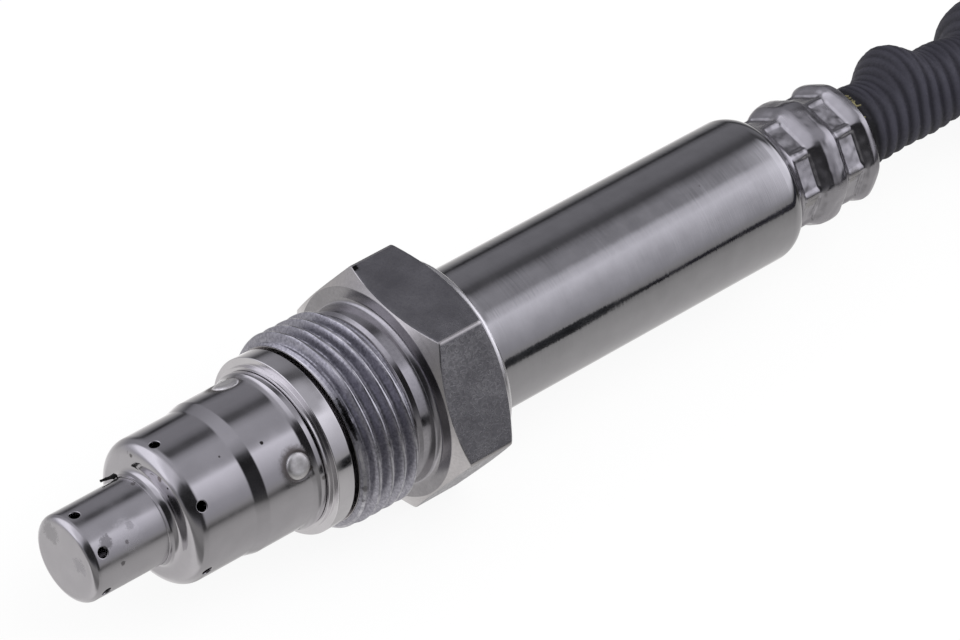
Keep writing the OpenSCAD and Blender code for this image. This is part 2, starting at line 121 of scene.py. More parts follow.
def millimetres(tree: Tree, stretch: tuple[float, float, float] = (1.0, 1.0, 1.0)) -> Socket:
    """Gives object coordinates in millimetres, times a stretch on each axis."""
    where = add_node(tree, "ShaderNodeTexCoord")
    scale = add_node(tree, "ShaderNodeMapping", {"Scale": tuple(s / MM for s in stretch)},
                     {"Vector": where.outputs["Object"]})
    return scale.outputs["Vector"]


@dataclass(frozen=True)
class Mark:
    """A spot of dirt, heat tint, wear or painted shade on a surface, soft at its edge and broken up by noise."""

    x: float
    turn: float
    r: float
    radius: float
    colour: str
    strength: float = 0.8
    breakup: float = 0.6
    hollow: float = 0.0

    def centre(self) -> Vector:
        """Gives the spot's place in millimetres."""
        t = math.radians(self.turn)
        return Vector((self.x, self.r * math.cos(t), self.r * math.sin(t)))


def marked(tree: Tree, marks: Sequence[Mark], colour: Socket) -> tuple[Socket, Socket | None]:
    """Lays marks over a colour.

    Args:
        tree: the node tree.
        marks: the marks, in order.
        colour: the clean colour's socket.

    Returns:
        The marked colour, and how much of the surface is marked, which is None where there are no marks.
    """
    if not marks:
        return colour, None
    place = millimetres(tree)
    cloud = add_node(tree, "ShaderNodeTexNoise", {"Scale": 3.2, "Detail": 4.0, "Roughness": 0.65}, {"Vector": place})
    total = None
    for mark in marks:
        sway = mark.radius * mark.breakup
        far = add_node(tree, "ShaderNodeVectorMath", {"operation": "DISTANCE", 1: mark.centre()}, {0: place})
        wander = add_node(tree, "ShaderNodeMath", {"operation": "MULTIPLY_ADD", 1: sway * 2, 2: -sway},
                          {0: cloud.outputs["Fac"]})
        edge = add_node(tree, "ShaderNodeMath", {"operation": "ADD"}, {0: far.outputs["Value"], 1: wander.outputs[0]})
        cover = add_node(tree, "ShaderNodeMapRange",
                         {"interpolation_type": "SMOOTHSTEP", "From Min": mark.radius, "From Max": mark.radius * 0.6,
                          "To Max": mark.strength}, {"Value": edge.outputs[0]})
        if mark.hollow:
            hole = add_node(tree, "ShaderNodeMapRange",
                            {"interpolation_type": "SMOOTHSTEP", "From Min": mark.hollow * 0.85,
                             "From Max": mark.hollow}, {"Value": far.outputs["Value"]})
            cover = add_node(tree, "ShaderNodeMath", {"operation": "MULTIPLY"},
                             {0: cover.outputs[0], 1: hole.outputs[0]})
        colour = add_node(tree, "ShaderNodeMix", {"data_type": "RGBA", MIX_B: linear(mark.colour)},
                          {"Factor": cover.outputs[0], MIX_A: colour}).outputs[MIX_RESULT]
        if total is None:
            total = cover.outputs[0]
        else:
            total = add_node(tree, "ShaderNodeMath", {"operation": "MAXIMUM"},
                             {0: total, 1: cover.outputs[0]}).outputs[0]
    return colour, total


def brushed(tree: Tree, normal: Socket, amount: float, pitch_mm: float, run_mm: float) -> Socket:
    """Tilts normals round the axis in thin streaks, as an abrasive belt leaves a turned tube.

    Args:
        tree: the node tree.
        normal: the normal before brushing.
        amount: how far the streaks tilt it.
        pitch_mm: the streaks' spacing along the axis.
        run_mm: the streaks' length round the axis.

    Returns:
        The tilted normal.
    """
    split = add_node(tree, "ShaderNodeSeparateXYZ", links={0: millimetres(tree)})
    back = add_node(tree, "ShaderNodeMath", {"operation": "MULTIPLY", 1: -1.0}, {0: split.outputs["Z"]})
    around = add_node(tree, "ShaderNodeCombineXYZ", links={"Y": back.outputs[0], "Z": split.outputs["Y"]})
    unit = add_node(tree, "ShaderNodeVectorMath", {"operation": "NORMALIZE"}, {0: around.outputs[0]})
    streak = add_node(tree, "ShaderNodeTexNoise", {"Scale": 1.0, "Detail": 1.5},
                      {"Vector": millimetres(tree, (1 / pitch_mm, 1 / run_mm, 1 / run_mm))})
    lean = add_node(tree, "ShaderNodeMath", {"operation": "MULTIPLY_ADD", 1: amount * 2, 2: -amount},
                    {0: streak.outputs["Fac"]})
    push = add_node(tree, "ShaderNodeVectorMath", {"operation": "SCALE"},
                    {0: unit.outputs[0], "Scale": lean.outputs[0]})
    total = add_node(tree, "ShaderNodeVectorMath", {"operation": "ADD"}, {0: normal, 1: push.outputs[0]})
    return add_node(tree, "ShaderNodeVectorMath", {"operation": "NORMALIZE"}, {0: total.outputs[0]}).outputs[0]


# Finishes


@dataclass(frozen=True)
class DrawnSteel:
    """Bright deep-drawn stainless sheet: polished, so it mirrors the studio in crisp bands that bend a little.

    The drawing lines are far finer than the render can show, so they are drawn at line_mm and the belt's streaks at
    brush_mm, as coarse as they need to be to soften the mirror.
    """

    name: str
    colour: str = "C4C2C5"
    roughness: float = 0.1
    wave_mm: float = 5.0
    wave_height: float = 0.012
    line_mm: float = 0.12
    line_height: float = 0.0006
    line_run_mm: float = 1 / 0.15
    speck_mm: float = 1.9
    speck_share: float = 0.05
    speck_colour: str = "2A2522"
    speck_size: float = 0.16
    dirt_roughness: float = 0.45
    brush: float = 0.0
    brush_mm: float = 0.13
    brush_run_mm: float = 1.6
    marks: tuple[Mark, ...] = ()

    def specks(self, tree: Tree, place: Socket) -> Socket:
        """Scatters a few ragged specks of dirt.

        Args:
            tree: the material's node tree.
            place: the coordinates in millimetres.

        Returns:
            1 where a speck is and 0 elsewhere.
        """
        cells = add_node(tree, "ShaderNodeTexVoronoi", {"Scale": 1 / self.speck_mm}, {"Vector": place})
        chosen = add_node(tree, "ShaderNodeValToRGB", links={"Fac": cells.outputs["Color"]},
                          stops=[(self.speck_share, 1.0), (self.speck_share + 0.01, 0.0)])
        edge = add_node(tree, "ShaderNodeTexNoise", {"Scale": 6.0, "Detail": 2.0}, {"Vector": place})
        blot = add_node(tree, "ShaderNodeMath", {"operation": "MULTIPLY", 1: self.speck_size}, {0: edge.outputs["Fac"]})
        close = add_node(tree, "ShaderNodeMath", {"operation": "LESS_THAN"},
                         {0: cells.outputs["Distance"], 1: blot.outputs[0]})
        speck = add_node(tree, "ShaderNodeMath", {"operation": "MULTIPLY"},
                         {0: close.outputs[0], 1: chosen.outputs["Color"]})
        return speck.outputs[0]

    def bends(self, tree: Tree, place: Socket) -> Socket:
        """Bends the normals as wavy sheet does, with fine drawing lines and belt streaks.

        Args:
            tree: the material's node tree.
            place: the coordinates in millimetres.

        Returns:
            The bent normals.
        """
        wave = add_node(tree, "ShaderNodeTexNoise", {"Scale": 1 / self.wave_mm, "Detail": 1.0}, {"Vector": place})
        bend = add_node(tree, "ShaderNodeBump", {"Strength": 1.0, "Distance": self.wave_height * MM},
                        {"Height": wave.outputs["Fac"]})
        run = 1 / self.line_run_mm
        lines = add_node(tree, "ShaderNodeTexNoise", {"Scale": 1.0, "Detail": 2.0},
                         {"Vector": millimetres(tree, (1 / self.line_mm, run, run))})
        fine = add_node(tree, "ShaderNodeBump", {"Strength": 1.0, "Distance": self.line_height * MM},
                        {"Height": lines.outputs["Fac"], "Normal": bend.outputs["Normal"]})
        if not self.brush:
            return fine.outputs["Normal"]
        return brushed(tree, fine.outputs["Normal"], self.brush, self.brush_mm, self.brush_run_mm)

    def make(self) -> bpy.types.Material:
        """Builds the material."""
        material, tree, shader = new_material(self.name)
        place = millimetres(tree)
        cloud = add_node(tree, "ShaderNodeTexNoise", {"Scale": 0.45, "Detail": 3.0}, {"Vector": place})
        speck = self.specks(tree, place)
        tone = add_node(tree, "ShaderNodeValToRGB", links={"Fac": cloud.outputs["Fac"]},
                        stops=[(0.3, 0.78), (0.7, 1.0)])
        steel = add_node(tree, "ShaderNodeMix", {"data_type": "RGBA", "blend_type": "MULTIPLY", "Factor": 0.35,
                         MIX_A: linear(self.colour)}, {MIX_B: tone.outputs["Color"]})
        colour = add_node(tree, "ShaderNodeMix", {"data_type": "RGBA", MIX_B: linear(self.speck_colour)},
                          {"Factor": speck, MIX_A: steel.outputs[MIX_RESULT]})
        shown, dirty = marked(tree, self.marks, colour.outputs[MIX_RESULT])
        worn = add_node(tree, "ShaderNodeValToRGB", links={"Fac": cloud.outputs["Fac"]},
                        stops=[(0.35, self.roughness * 0.8), (0.7, self.roughness * 1.6)])
        most = add_node(tree, "ShaderNodeMath", {"operation": "MAXIMUM"}, {0: dirty or speck, 1: speck})
        rough = add_node(tree, "ShaderNodeMix", {"data_type": "RGBA", MIX_B: (self.dirt_roughness,) * 3 + (1.0,)},
                         {"Factor": most.outputs[0], MIX_A: worn.outputs["Color"]})
        connect(tree, shader, shown, rough.outputs[MIX_RESULT], self.bends(tree, place))
        shader.inputs["Metallic"].default_value = 1.0
        return material


@dataclass(frozen=True)
class TurnedSteel:
    """Machined steel: a cutter's fine rings show as streaks round the axis, and grain breaks up the mirror.

    The rings of a real cutter are about a tenth of a millimetre apart and are drawn coarser here, at ring_mm.
    """

    name: str
    colour: str = "B9B7BA"
    dark: str = "8E8C90"
    roughness: float = 0.24
    ring_mm: float = 0.2
    ring_height: float = 0.004
    grain_mm: float = 0.25
    grain_height: float = 0.002
    mottle: float = 0.5

    def make(self) -> bpy.types.Material:
        """Builds the material."""
        material, tree, shader = new_material(self.name)
        place = millimetres(tree)
        rings = add_node(tree, "ShaderNodeTexNoise", {"Scale": 1.0, "Detail": 3.0},
                         {"Vector": millimetres(tree, (1 / self.ring_mm, 0.12, 0.12))})
        grain = add_node(tree, "ShaderNodeTexNoise", {"Scale": 1 / self.grain_mm, "Detail": 4.0}, {"Vector": place})
        cloud = add_node(tree, "ShaderNodeTexNoise", {"Scale": 0.4, "Detail": 4.0}, {"Vector": place})
        both = add_node(tree, "ShaderNodeMath", {"operation": "MULTIPLY"},
                        {0: cloud.outputs["Fac"], 1: grain.outputs["Fac"]})
        tone = add_node(tree, "ShaderNodeValToRGB", links={"Fac": both.outputs[0]}, stops=[(0.12, 0.0), (0.4, 1.0)])
        strength = add_node(tree, "ShaderNodeMath", {"operation": "MULTIPLY_ADD", 1: self.mottle, 2: 1.0 - self.mottle},
                            {0: tone.outputs["Color"]})
        colour = add_node(tree, "ShaderNodeMix",
                          {"data_type": "RGBA", MIX_A: linear(self.dark), MIX_B: linear(self.colour)},
                          {"Factor": strength.outputs[0]})
        rough = add_node(tree, "ShaderNodeValToRGB", links={"Fac": rings.outputs["Fac"]},
                         stops=[(0.3, self.roughness * 0.85), (0.7, self.roughness * 1.25)])
        cut = add_node(tree, "ShaderNodeBump", {"Strength": 1.0, "Distance": self.ring_height * MM},
                       {"Height": rings.outputs["Fac"]})
        pit = add_node(tree, "ShaderNodeBump", {"Strength": 1.0, "Distance": self.grain_height * MM},
                       {"Height": grain.outputs["Fac"], "Normal": cut.outputs["Normal"]})
        connect(tree, shader, colour.outputs[MIX_RESULT], rough.outputs["Color"], pit.outputs["Normal"])
        shader.inputs["Metallic"].default_value = 1.0
        return material


@dataclass(frozen=True)
class CoatedThread:
    """Rolled thread with a dull grey coating: the coating is worn off the crests, which shine as thin bright lines."""

    name: str
    colour: str = "B9B8C0"
    dark: str = "8A8992"
    crest: str = "CBCACF"
    pitch: float = 1.5
    roughness: float = 0.34
    crest_roughness: float = 0.14
    wander: float = 0.06
    height: float = 0.008
    marks: tuple[Mark, ...] = ()

    def crests(self, tree: Tree, place: Socket, wear: Socket) -> Socket:
        """Finds the helix's crests, with edges that wander with the wear.

        Args:
            tree: the material's node tree.
            place: the coordinates in millimetres.
            wear: the pattern of the wear.

        Returns:
            1 on a crest and 0 in a root.
        """
        split = add_node(tree, "ShaderNodeSeparateXYZ", links={0: place})
        angle = add_node(tree, "ShaderNodeMath", {"operation": "ARCTAN2"},
                         {0: split.outputs["Z"], 1: split.outputs["Y"]})
        lead = add_node(tree, "ShaderNodeMath", {"operation": "MULTIPLY", 1: -1 / math.tau}, {0: angle.outputs[0]})
        turns = add_node(tree, "ShaderNodeMath", {"operation": "MULTIPLY_ADD", 1: 1 / self.pitch},
                         {0: split.outputs["X"], 2: lead.outputs[0]})
        phase = add_node(tree, "ShaderNodeMath", {"operation": "FRACT"}, {0: turns.outputs[0]})
        nudge = add_node(tree, "ShaderNodeMath", {"operation": "MULTIPLY_ADD", 1: self.wander * 2, 2: -self.wander},
                         {0: wear})
        moved = add_node(tree, "ShaderNodeMath", {"operation": "ADD"}, {0: phase.outputs[0], 1: nudge.outputs[0]})
        crest = add_node(tree, "ShaderNodeValToRGB", links={"Fac": moved.outputs[0]},
                         stops=[(0.0, 1.0), (0.05, 1.0), (0.09, 0.0), (0.9, 0.0), (0.94, 1.0), (1.0, 1.0)])
        return crest.outputs["Color"]

    def make(self) -> bpy.types.Material:
        """Builds the material."""
        material, tree, shader = new_material(self.name)
        place = millimetres(tree)
        wear = add_node(tree, "ShaderNodeTexNoise", {"Scale": 1.1, "Detail": 4.0, "Roughness": 0.6}, {"Vector": place})
        crest = self.crests(tree, place, wear.outputs["Fac"])
        grain = add_node(tree, "ShaderNodeTexNoise", {"Scale": 3.5, "Detail": 4.0, "Roughness": 0.65},
                         {"Vector": place})
        tone = add_node(tree, "ShaderNodeValToRGB", links={"Fac": grain.outputs["Fac"]},
                        stops=[(0.35, 0.0), (0.65, 1.0)])
        coat = add_node(tree, "ShaderNodeMix",
                        {"data_type": "RGBA", MIX_A: linear(self.dark), MIX_B: linear(self.colour)},
                        {"Factor": tone.outputs["Color"]})
        rub_wear_and_crest_light = add_node(tree, "ShaderNodeValToRGB", links={"Fac": wear.outputs["Fac"]},
                          stops=[(0.38, 0.3), (0.6, 1.0)])
        patchy = add_node(tree, "ShaderNodeMath", {"operation": "MULTIPLY"}, {0: crest, 1: rub_wear_and_crest_light.outputs["Color"]})
        colour = add_node(tree, "ShaderNodeMix", {"data_type": "RGBA", MIX_B: linear(self.crest)},
                          {"Factor": patchy.outputs[0], MIX_A: coat.outputs[MIX_RESULT]})
        shown, _ = marked(tree, self.marks, colour.outputs[MIX_RESULT])
        rough = add_node(tree, "ShaderNodeMapRange", {"To Min": self.roughness, "To Max": self.crest_roughness},
                         {"Value": patchy.outputs[0]})
        bump = add_node(tree, "ShaderNodeBump", {"Strength": 1.0, "Distance": self.height * MM},
                        {"Height": grain.outputs["Fac"]})
        connect(tree, shader, shown, rough.outputs[0], bump.outputs["Normal"])
        shader.inputs["Metallic"].default_value = 1.0
        return material


@dataclass(frozen=True)
class ForgedFlat:
    """Cold-forged flat: the tool leaves a fine leathery skin, coarser to one side, that scatters light in flecks."""

    name: str
    colour: str = "BCBBBF"
    dark: str = "88878C"
    roughness: float = 0.36
    fine_mm: float = 0.3
    coarse_mm: float = 0.75
    coarse_y: float = -7.5
    height: float = 0.007
    marks: tuple[Mark, ...] = ()

    def leather(self, tree: Tree, place: Socket) -> Socket:
        """Makes the skin: a fine grain, with worm-like ridges that grow towards one side.

        Args:
            tree: the material's node tree.
            place: the coordinates in millimetres.

        Returns:
            The skin's height.
        """
        fine = add_node(tree, "ShaderNodeTexNoise", {"Scale": 1 / self.fine_mm, "Detail": 3.0, "Roughness": 0.6},
                        {"Vector": place})
        warp = add_node(tree, "ShaderNodeVectorMath", {"operation": "MULTIPLY_ADD", 1: (0.5, 0.5, 0.5)},
                        {0: fine.outputs["Color"], 2: place})
        worm = add_node(tree, "ShaderNodeTexNoise", {"Scale": 1 / self.coarse_mm, "Detail": 1.5, "Distortion": 1.2},
                        {"Vector": warp.outputs[0]})
        ridge = add_node(tree, "ShaderNodeValToRGB", links={"Fac": worm.outputs["Fac"]},
                         stops=[(0.38, 0.0), (0.5, 1.0), (0.62, 0.0)])
        ridge.color_ramp.interpolation = "EASE"
        split = add_node(tree, "ShaderNodeSeparateXYZ", links={0: place})
        side = add_node(tree, "ShaderNodeMapRange",
                        {"interpolation_type": "SMOOTHSTEP", "From Min": 0.0, "From Max": self.coarse_y, "To Min": 0.15,
                         "To Max": 0.5}, {"Value": split.outputs["Y"]})
        skin = add_node(tree, "ShaderNodeMath", {"operation": "MULTIPLY"},
                        {0: ridge.outputs["Color"], 1: side.outputs[0]})
        both = add_node(tree, "ShaderNodeMath", {"operation": "ADD"}, {0: skin.outputs[0], 1: fine.outputs["Fac"]})
        return both.outputs[0]

    def make(self) -> bpy.types.Material:
        """Builds the material."""
        material, tree, shader = new_material(self.name)
        place = millimetres(tree)
        leather = self.leather(tree, place)
        cloud = add_node(tree, "ShaderNodeTexNoise", {"Scale": 0.35, "Detail": 4.0}, {"Vector": place})
        both = add_node(tree, "ShaderNodeMath", {"operation": "MULTIPLY"}, {0: leather, 1: cloud.outputs["Fac"]})
        tone = add_node(tree, "ShaderNodeValToRGB", links={"Fac": both.outputs[0]}, stops=[(0.14, 0.0), (0.6, 1.0)])
        colour = add_node(tree, "ShaderNodeMix",
                          {"data_type": "RGBA", MIX_A: linear(self.dark), MIX_B: linear(self.colour)},
                          {"Factor": tone.outputs["Color"]})
        shown, _ = marked(tree, self.marks, colour.outputs[MIX_RESULT])
        rough = add_node(tree, "ShaderNodeValToRGB", links={"Fac": leather},
                         stops=[(0.3, self.roughness * 1.15), (0.9, self.roughness * 0.75)])
        bump = add_node(tree, "ShaderNodeBump", {"Strength": 1.0, "Distance": self.height * MM}, {"Height": leather})
        connect(tree, shader, shown, rough.outputs["Color"], bump.outputs["Normal"])
        shader.inputs["Metallic"].default_value = 1.0
        return material


@dataclass(frozen=True)
class Moulded:
    """Moulded or fired non-metal: one body colour with a faint cloud, and a fine even grain from the mould."""

    name: str
    colour: str
    shade: str
    roughness: float = 0.5
    ior: float = 1.5
    grain_mm: float = 0.3
    grain_height: float = 0.01

    def make(self) -> bpy.types.Material:
        """Builds the material."""
        material, tree, shader = new_material(self.name)
        place = millimetres(tree)
        cloud = add_node(tree, "ShaderNodeTexNoise", {"Scale": 0.3, "Detail": 4.0}, {"Vector": place})
        tone = add_node(tree, "ShaderNodeValToRGB", links={"Fac": cloud.outputs["Fac"]},
                        stops=[(0.35, 0.0), (0.65, 1.0)])
        colour = add_node(tree, "ShaderNodeMix",
                          {"data_type": "RGBA", MIX_A: linear(self.shade), MIX_B: linear(self.colour)},
                          {"Factor": tone.outputs["Color"]})
        grain = add_node(tree, "ShaderNodeTexNoise", {"Scale": 1 / self.grain_mm, "Detail": 3.0}, {"Vector": place})
        rough = add_node(tree, "ShaderNodeValToRGB", links={"Fac": grain.outputs["Fac"]},
                         stops=[(0.3, self.roughness * 0.85), (0.7, min(1.0, self.roughness * 1.15))])
        bump = add_node(tree, "ShaderNodeBump", {"Strength": 1.0, "Distance": self.grain_height * MM},
                        {"Height": grain.outputs["Fac"]})
        connect(tree, shader, colour.outputs[MIX_RESULT], rough.outputs["Color"], bump.outputs["Normal"])
        shader.inputs["IOR"].default_value = self.ior
        return material


@dataclass(frozen=True)
class WovenSheath:
    """Rubberised woven sheath: matt and near black, with painted light on rib crests and painted shade in the valleys.

    The weave is drawn at weave_mm, about twice as coarse as the real yarns, so that it shows.
    """

    name: str
    # crest is the painted lit colour of the rib crests, valley the painted shade between them
    crest: str = "3B3A44"
    valley: str = "201F27"
    # near-black colour of soot and of the painted shadow in the neck's mouth
    soot: str = "070709"
    roughness: float = 0.6
    sheen: float = 0.3
    weave_mm: float = 0.3
    weave_height: float = 0.03
    fibre: float = 0.15
    # the stretch along the axis over which the soot and painted shadow fade out
    soot_and_shadow_x: tuple[float, float] = (75.2, 77.8)
    marks: tuple[Mark, ...] = ()

    def rub_wear_and_crest_light(self, tree: Tree, place: Socket, weave: Socket) -> Socket:
        """Gives painted crest light and fibre paleness; the mesh carries each point's height on its rib as "rib".

        Args:
            tree: the material's node tree.
            place: the coordinates in millimetres.
            weave: the pattern of the weave.

        Returns:
            The painted crest light with the fibres' paleness, from 0 to 1.
        """
        rib = add_node(tree, "ShaderNodeAttribute", {"attribute_name": "rib"})
        cloud = add_node(tree, "ShaderNodeTexNoise", {"Scale": 0.22, "Detail": 3.0}, {"Vector": place})
        # painted light: the rib crests are lit paler, broken up by a cloud
        crest = add_node(tree, "ShaderNodeValToRGB", links={"Fac": rib.outputs["Fac"]}, stops=[(0.3, 0.0), (0.95, 1.0)])
        patch = add_node(tree, "ShaderNodeValToRGB", links={"Fac": cloud.outputs["Fac"]},
                         stops=[(0.3, 0.5), (0.62, 1.0)])
        painted_crest_light = add_node(tree, "ShaderNodeMath", {"operation": "MULTIPLY"},
                        {0: crest.outputs["Color"], 1: patch.outputs["Color"]})
        fibre = add_node(tree, "ShaderNodeMath", {"operation": "MULTIPLY_ADD", 1: self.fibre * 2, 2: -self.fibre},
                         {0: weave})
        share = add_node(tree, "ShaderNodeMath", {"operation": "ADD", "use_clamp": True},
                         {0: painted_crest_light.outputs[0], 1: fibre.outputs[0]})
        return share.outputs[0]

    def make(self) -> bpy.types.Material:
        """Builds the material."""
        material, tree, shader = new_material(self.name)
        place = millimetres(tree)
        weave = add_node(tree, "ShaderNodeTexNoise", {"Scale": 1 / self.weave_mm, "Detail": 3.0}, {"Vector": place})
        split = add_node(tree, "ShaderNodeSeparateXYZ", links={0: place})
        # soot and painted shadow by the neck's mouth, fading out along the axis
        clear_of_soot_and_shadow = add_node(tree, "ShaderNodeMapRange",
                         {"interpolation_type": "SMOOTHSTEP", "From Min": self.soot_and_shadow_x[0],
                          "From Max": self.soot_and_shadow_x[1]}, {"Value": split.outputs["X"]})
        # painted light on the rib crests and painted shade in the valleys, with the weave's paler fibres
        base = add_node(tree, "ShaderNodeMix",
                        {"data_type": "RGBA", MIX_A: linear(self.valley), MIX_B: linear(self.crest)},
                        {"Factor": self.rub_wear_and_crest_light(tree, place, weave.outputs["Fac"])})
        colour = add_node(tree, "ShaderNodeMix", {"data_type": "RGBA", MIX_A: linear(self.soot)},
                          {"Factor": clear_of_soot_and_shadow.outputs[0], MIX_B: base.outputs[MIX_RESULT]})
        shown, _ = marked(tree, self.marks, colour.outputs[MIX_RESULT])
        rough = add_node(tree, "ShaderNodeValToRGB", links={"Fac": weave.outputs["Fac"]},
                         stops=[(0.3, self.roughness * 1.1), (0.7, self.roughness * 0.85)])
        bump = add_node(tree, "ShaderNodeBump", {"Strength": 1.0, "Distance": self.weave_height * MM},
                        {"Height": weave.outputs["Fac"]})
        connect(tree, shader, shown, rough.outputs["Color"], bump.outputs["Normal"])
        shader.inputs["Specular IOR Level"].default_value = self.sheen
        return material


# Meshes


def rounded(corners: Sequence[tuple[float, float, float]], step: float = 9.0) -> Outline:
    """Turns corners into an outline with arcs.

    Args:
        corners: x, radius and fillet radius of each corner, in order; the first and last stay sharp.
        step: degrees of arc between two points.

    Returns:
        The outline's points.
    """
    points: Outline = []
    for i, (x, r, fillet) in enumerate(corners):
        if fillet <= 0 or i in (0, len(corners) - 1):
            points.append((x, r))
            continue
        here = Vector((x, r))
        back = (Vector(corners[i - 1][:2]) - here).normalized()
        ahead = (Vector(corners[i + 1][:2]) - here).normalized()
        half = back.angle(ahead) / 2
        if half > math.radians(89):
            points.append((x, r))
            continue
        centre = here + (back + ahead).normalized() * (fillet / math.sin(half))
        start = here + back * (fillet / math.tan(half)) - centre
        end = here + ahead * (fillet / math.tan(half)) - centre
        sweep = math.atan2(start.x * end.y - start.y * end.x, start.dot(end))
        count = max(2, round(abs(math.degrees(sweep)) / step))
        for k in range(count + 1):
            turned = Matrix.Rotation(sweep * k / count, 2) @ start
            points.append((centre.x + turned.x, centre.y + turned.y))
    return points


def radius_at(outline: Outline, x: float) -> float:
    """Reads an outline's radius by straight lines between its points.

    Args:
        outline: the outline.
        x: where to read it.

    Returns:
        The radius.
    """
    for (xa, ra), (xb, rb) in zip(outline, outline[1:]):
        if xa <= x <= xb and xb > xa:
            return ra + (rb - ra) * (x - xa) / (xb - xa)
    return outline[-1][1]


def smooth_curve(points: Pairs, x: float) -> float:
    """Reads a smooth curve through points at x.

    Args:
        points: x and value pairs, rising in x.
        x: where to read it.

    Returns:
        The value, by monotone cubic pieces.
    """
    if x <= points[0][0]:
        return points[0][1]
    for i in range(len(points) - 1):
        (xa, ya), (xb, yb) = points[i], points[i + 1]
        if x <= xb:
            slope = (yb - ya) / (xb - xa)
            left = (ya - points[i - 1][1]) / (xa - points[i - 1][0]) if i else slope
            right = (points[i + 2][1] - yb) / (points[i + 2][0] - xb) if i + 2 < len(points) else slope
            ma = 0.0 if left * slope <= 0 else 2 / (1 / left + 1 / slope)
            mb = 0.0 if right * slope <= 0 else 2 / (1 / right + 1 / slope)
            h = xb - xa
            t = (x - xa) / h
            return ((2 * t**3 - 3 * t**2 + 1) * ya + (t**3 - 2 * t**2 + t) * h * ma
                    + (3 * t**2 - 2 * t**3) * yb + (t**3 - t**2) * h * mb)
    return points[-1][1]


def with_stations(outline: Outline, stations: Sequence[float]) -> Outline:
    """Swaps the outline's points between the first and last station for points at the stations.

    Args:
        outline: the outline.
        stations: the wanted places along the axis, rising.

    Returns:
        The new outline.
    """
    low, high = stations[0], stations[-1]
    before = [p for p in outline if p[0] < low - 1e-6]
    after = [p for p in outline if p[0] > high + 1e-6]
    return before + [(x, radius_at(outline, x)) for x in stations] + after


def on_ring(x: float, r: float, turn: float) -> Vector:
    """Gives the point at x, a radius and an angle about the axis."""
    return Vector((x, r * math.cos(turn), r * math.sin(turn)))


def ease(low: float, high: float, value: float) -> float:
    """Rises smoothly from 0 at low to 1 at high."""
    t = min(1.0, max(0.0, (value - low) / (high - low)))
    return t * t * (3 - 2 * t)


def bell(value: float, centre: float, width: float, power: float = 2.0) -> float:
    """Gives a bump of height 1 at its centre; a higher power makes its top flatter and its sides steeper."""
    return math.exp(-(abs(value - centre) / width) ** power)


def soft_min(a: float, b: float, blend: float) -> float:
    """Gives the smaller of two values, blended where they are closer than blend."""
    h = max(0.0, 1 - abs(a - b) / blend)
    return min(a, b) - h * h * blend / 4


class Skin:
    """Collects the points and faces of one mesh piece, in millimetres."""

    def __init__(self, name: str) -> None:
        """Starts an empty skin with a piece name."""
        self.name = name
        self.points: list[Vector] = []
        self.faces: list[tuple[int, ...]] = []
        self.slots: list[int] = []
        self.ribs: list[float] = []

    def ring(self, points: Sequence[Vector], ribs: Sequence[float] = ()) -> list[int]:
        """Adds points, with their heights on a rib where the skin has ribs, and gives their numbers."""
        start = len(self.points)
        self.points.extend(points)
        self.ribs.extend(ribs)
        return list(range(start, len(self.points)))

    def face(self, corners: Sequence[int], slot: int = 0) -> None:
        """Adds one face."""
        self.faces.append(tuple(corners))
        self.slots.append(slot)

    def bridge(self, first: list[int], second: list[int], slot: int = 0, skip: frozenset[int] = frozenset()) -> None:
        """Joins two closed rings of equal length, leaving out the columns in skip."""
        count = len(first)
        for k in range(count):
            if k not in skip:
                n = (k + 1) % count
                self.face((first[k], first[n], second[n], second[k]), slot)

    def fan(self, ring: list[int], apex: Vector, before: bool, slot: int = 0) -> None:
        """Closes a ring to one point; before is true where the point comes before the ring."""
        tip = self.ring([apex], [0.0] if self.ribs else [])[0]
        for k in range(len(ring)):
            n = (k + 1) % len(ring)
            self.face((tip, ring[n], ring[k]) if before else (ring[k], ring[n], tip), slot)

    def build(self, materials: Sequence[bpy.types.Material], sharp: float = 40.0) -> bpy.types.Object:
        """Writes the mesh.

        Args:
            materials: the materials of the skin's slots, in order.
            sharp: edges that bend more than this many degrees stay sharp.

        Returns:
            The new object, linked to the scene.
        """
        mesh = bpy.data.meshes.new(self.name)
        mesh.from_pydata([p * MM for p in self.points], [], self.faces)
        for material in materials:
            mesh.materials.append(material)
        mesh.polygons.foreach_set("material_index", self.slots)
        if self.ribs:
            mesh.attributes.new("rib", "FLOAT", "POINT").data.foreach_set("value", self.ribs)
        form = bmesh.new()
        form.from_mesh(mesh)
        bmesh.ops.remove_doubles(form, verts=form.verts, dist=1e-8)
        bmesh.ops.recalc_face_normals(form, faces=form.faces)
        limit = math.radians(sharp)
        for face in form.faces:
            face.smooth = True
        for edge in form.edges:
            edge.smooth = len(edge.link_faces) == 2 and edge.calc_face_angle(0.0) < limit
        form.to_mesh(mesh)
        form.free()
        piece = bpy.data.objects.new(self.name, mesh)
        bpy.context.scene.collection.objects.link(piece)
        return piece


@dataclass(frozen=True)
class Spot:
    """A round feature on a turned surface: a hole, or the rings of a small dome when it has no bore."""

    x: float
    turn: float
    reach_x: float
    reach_turn: float
    rings: tuple[tuple[float, float], ...]
    bored: bool
    cap_r: float = 0.0
    cap_slot: int = 0


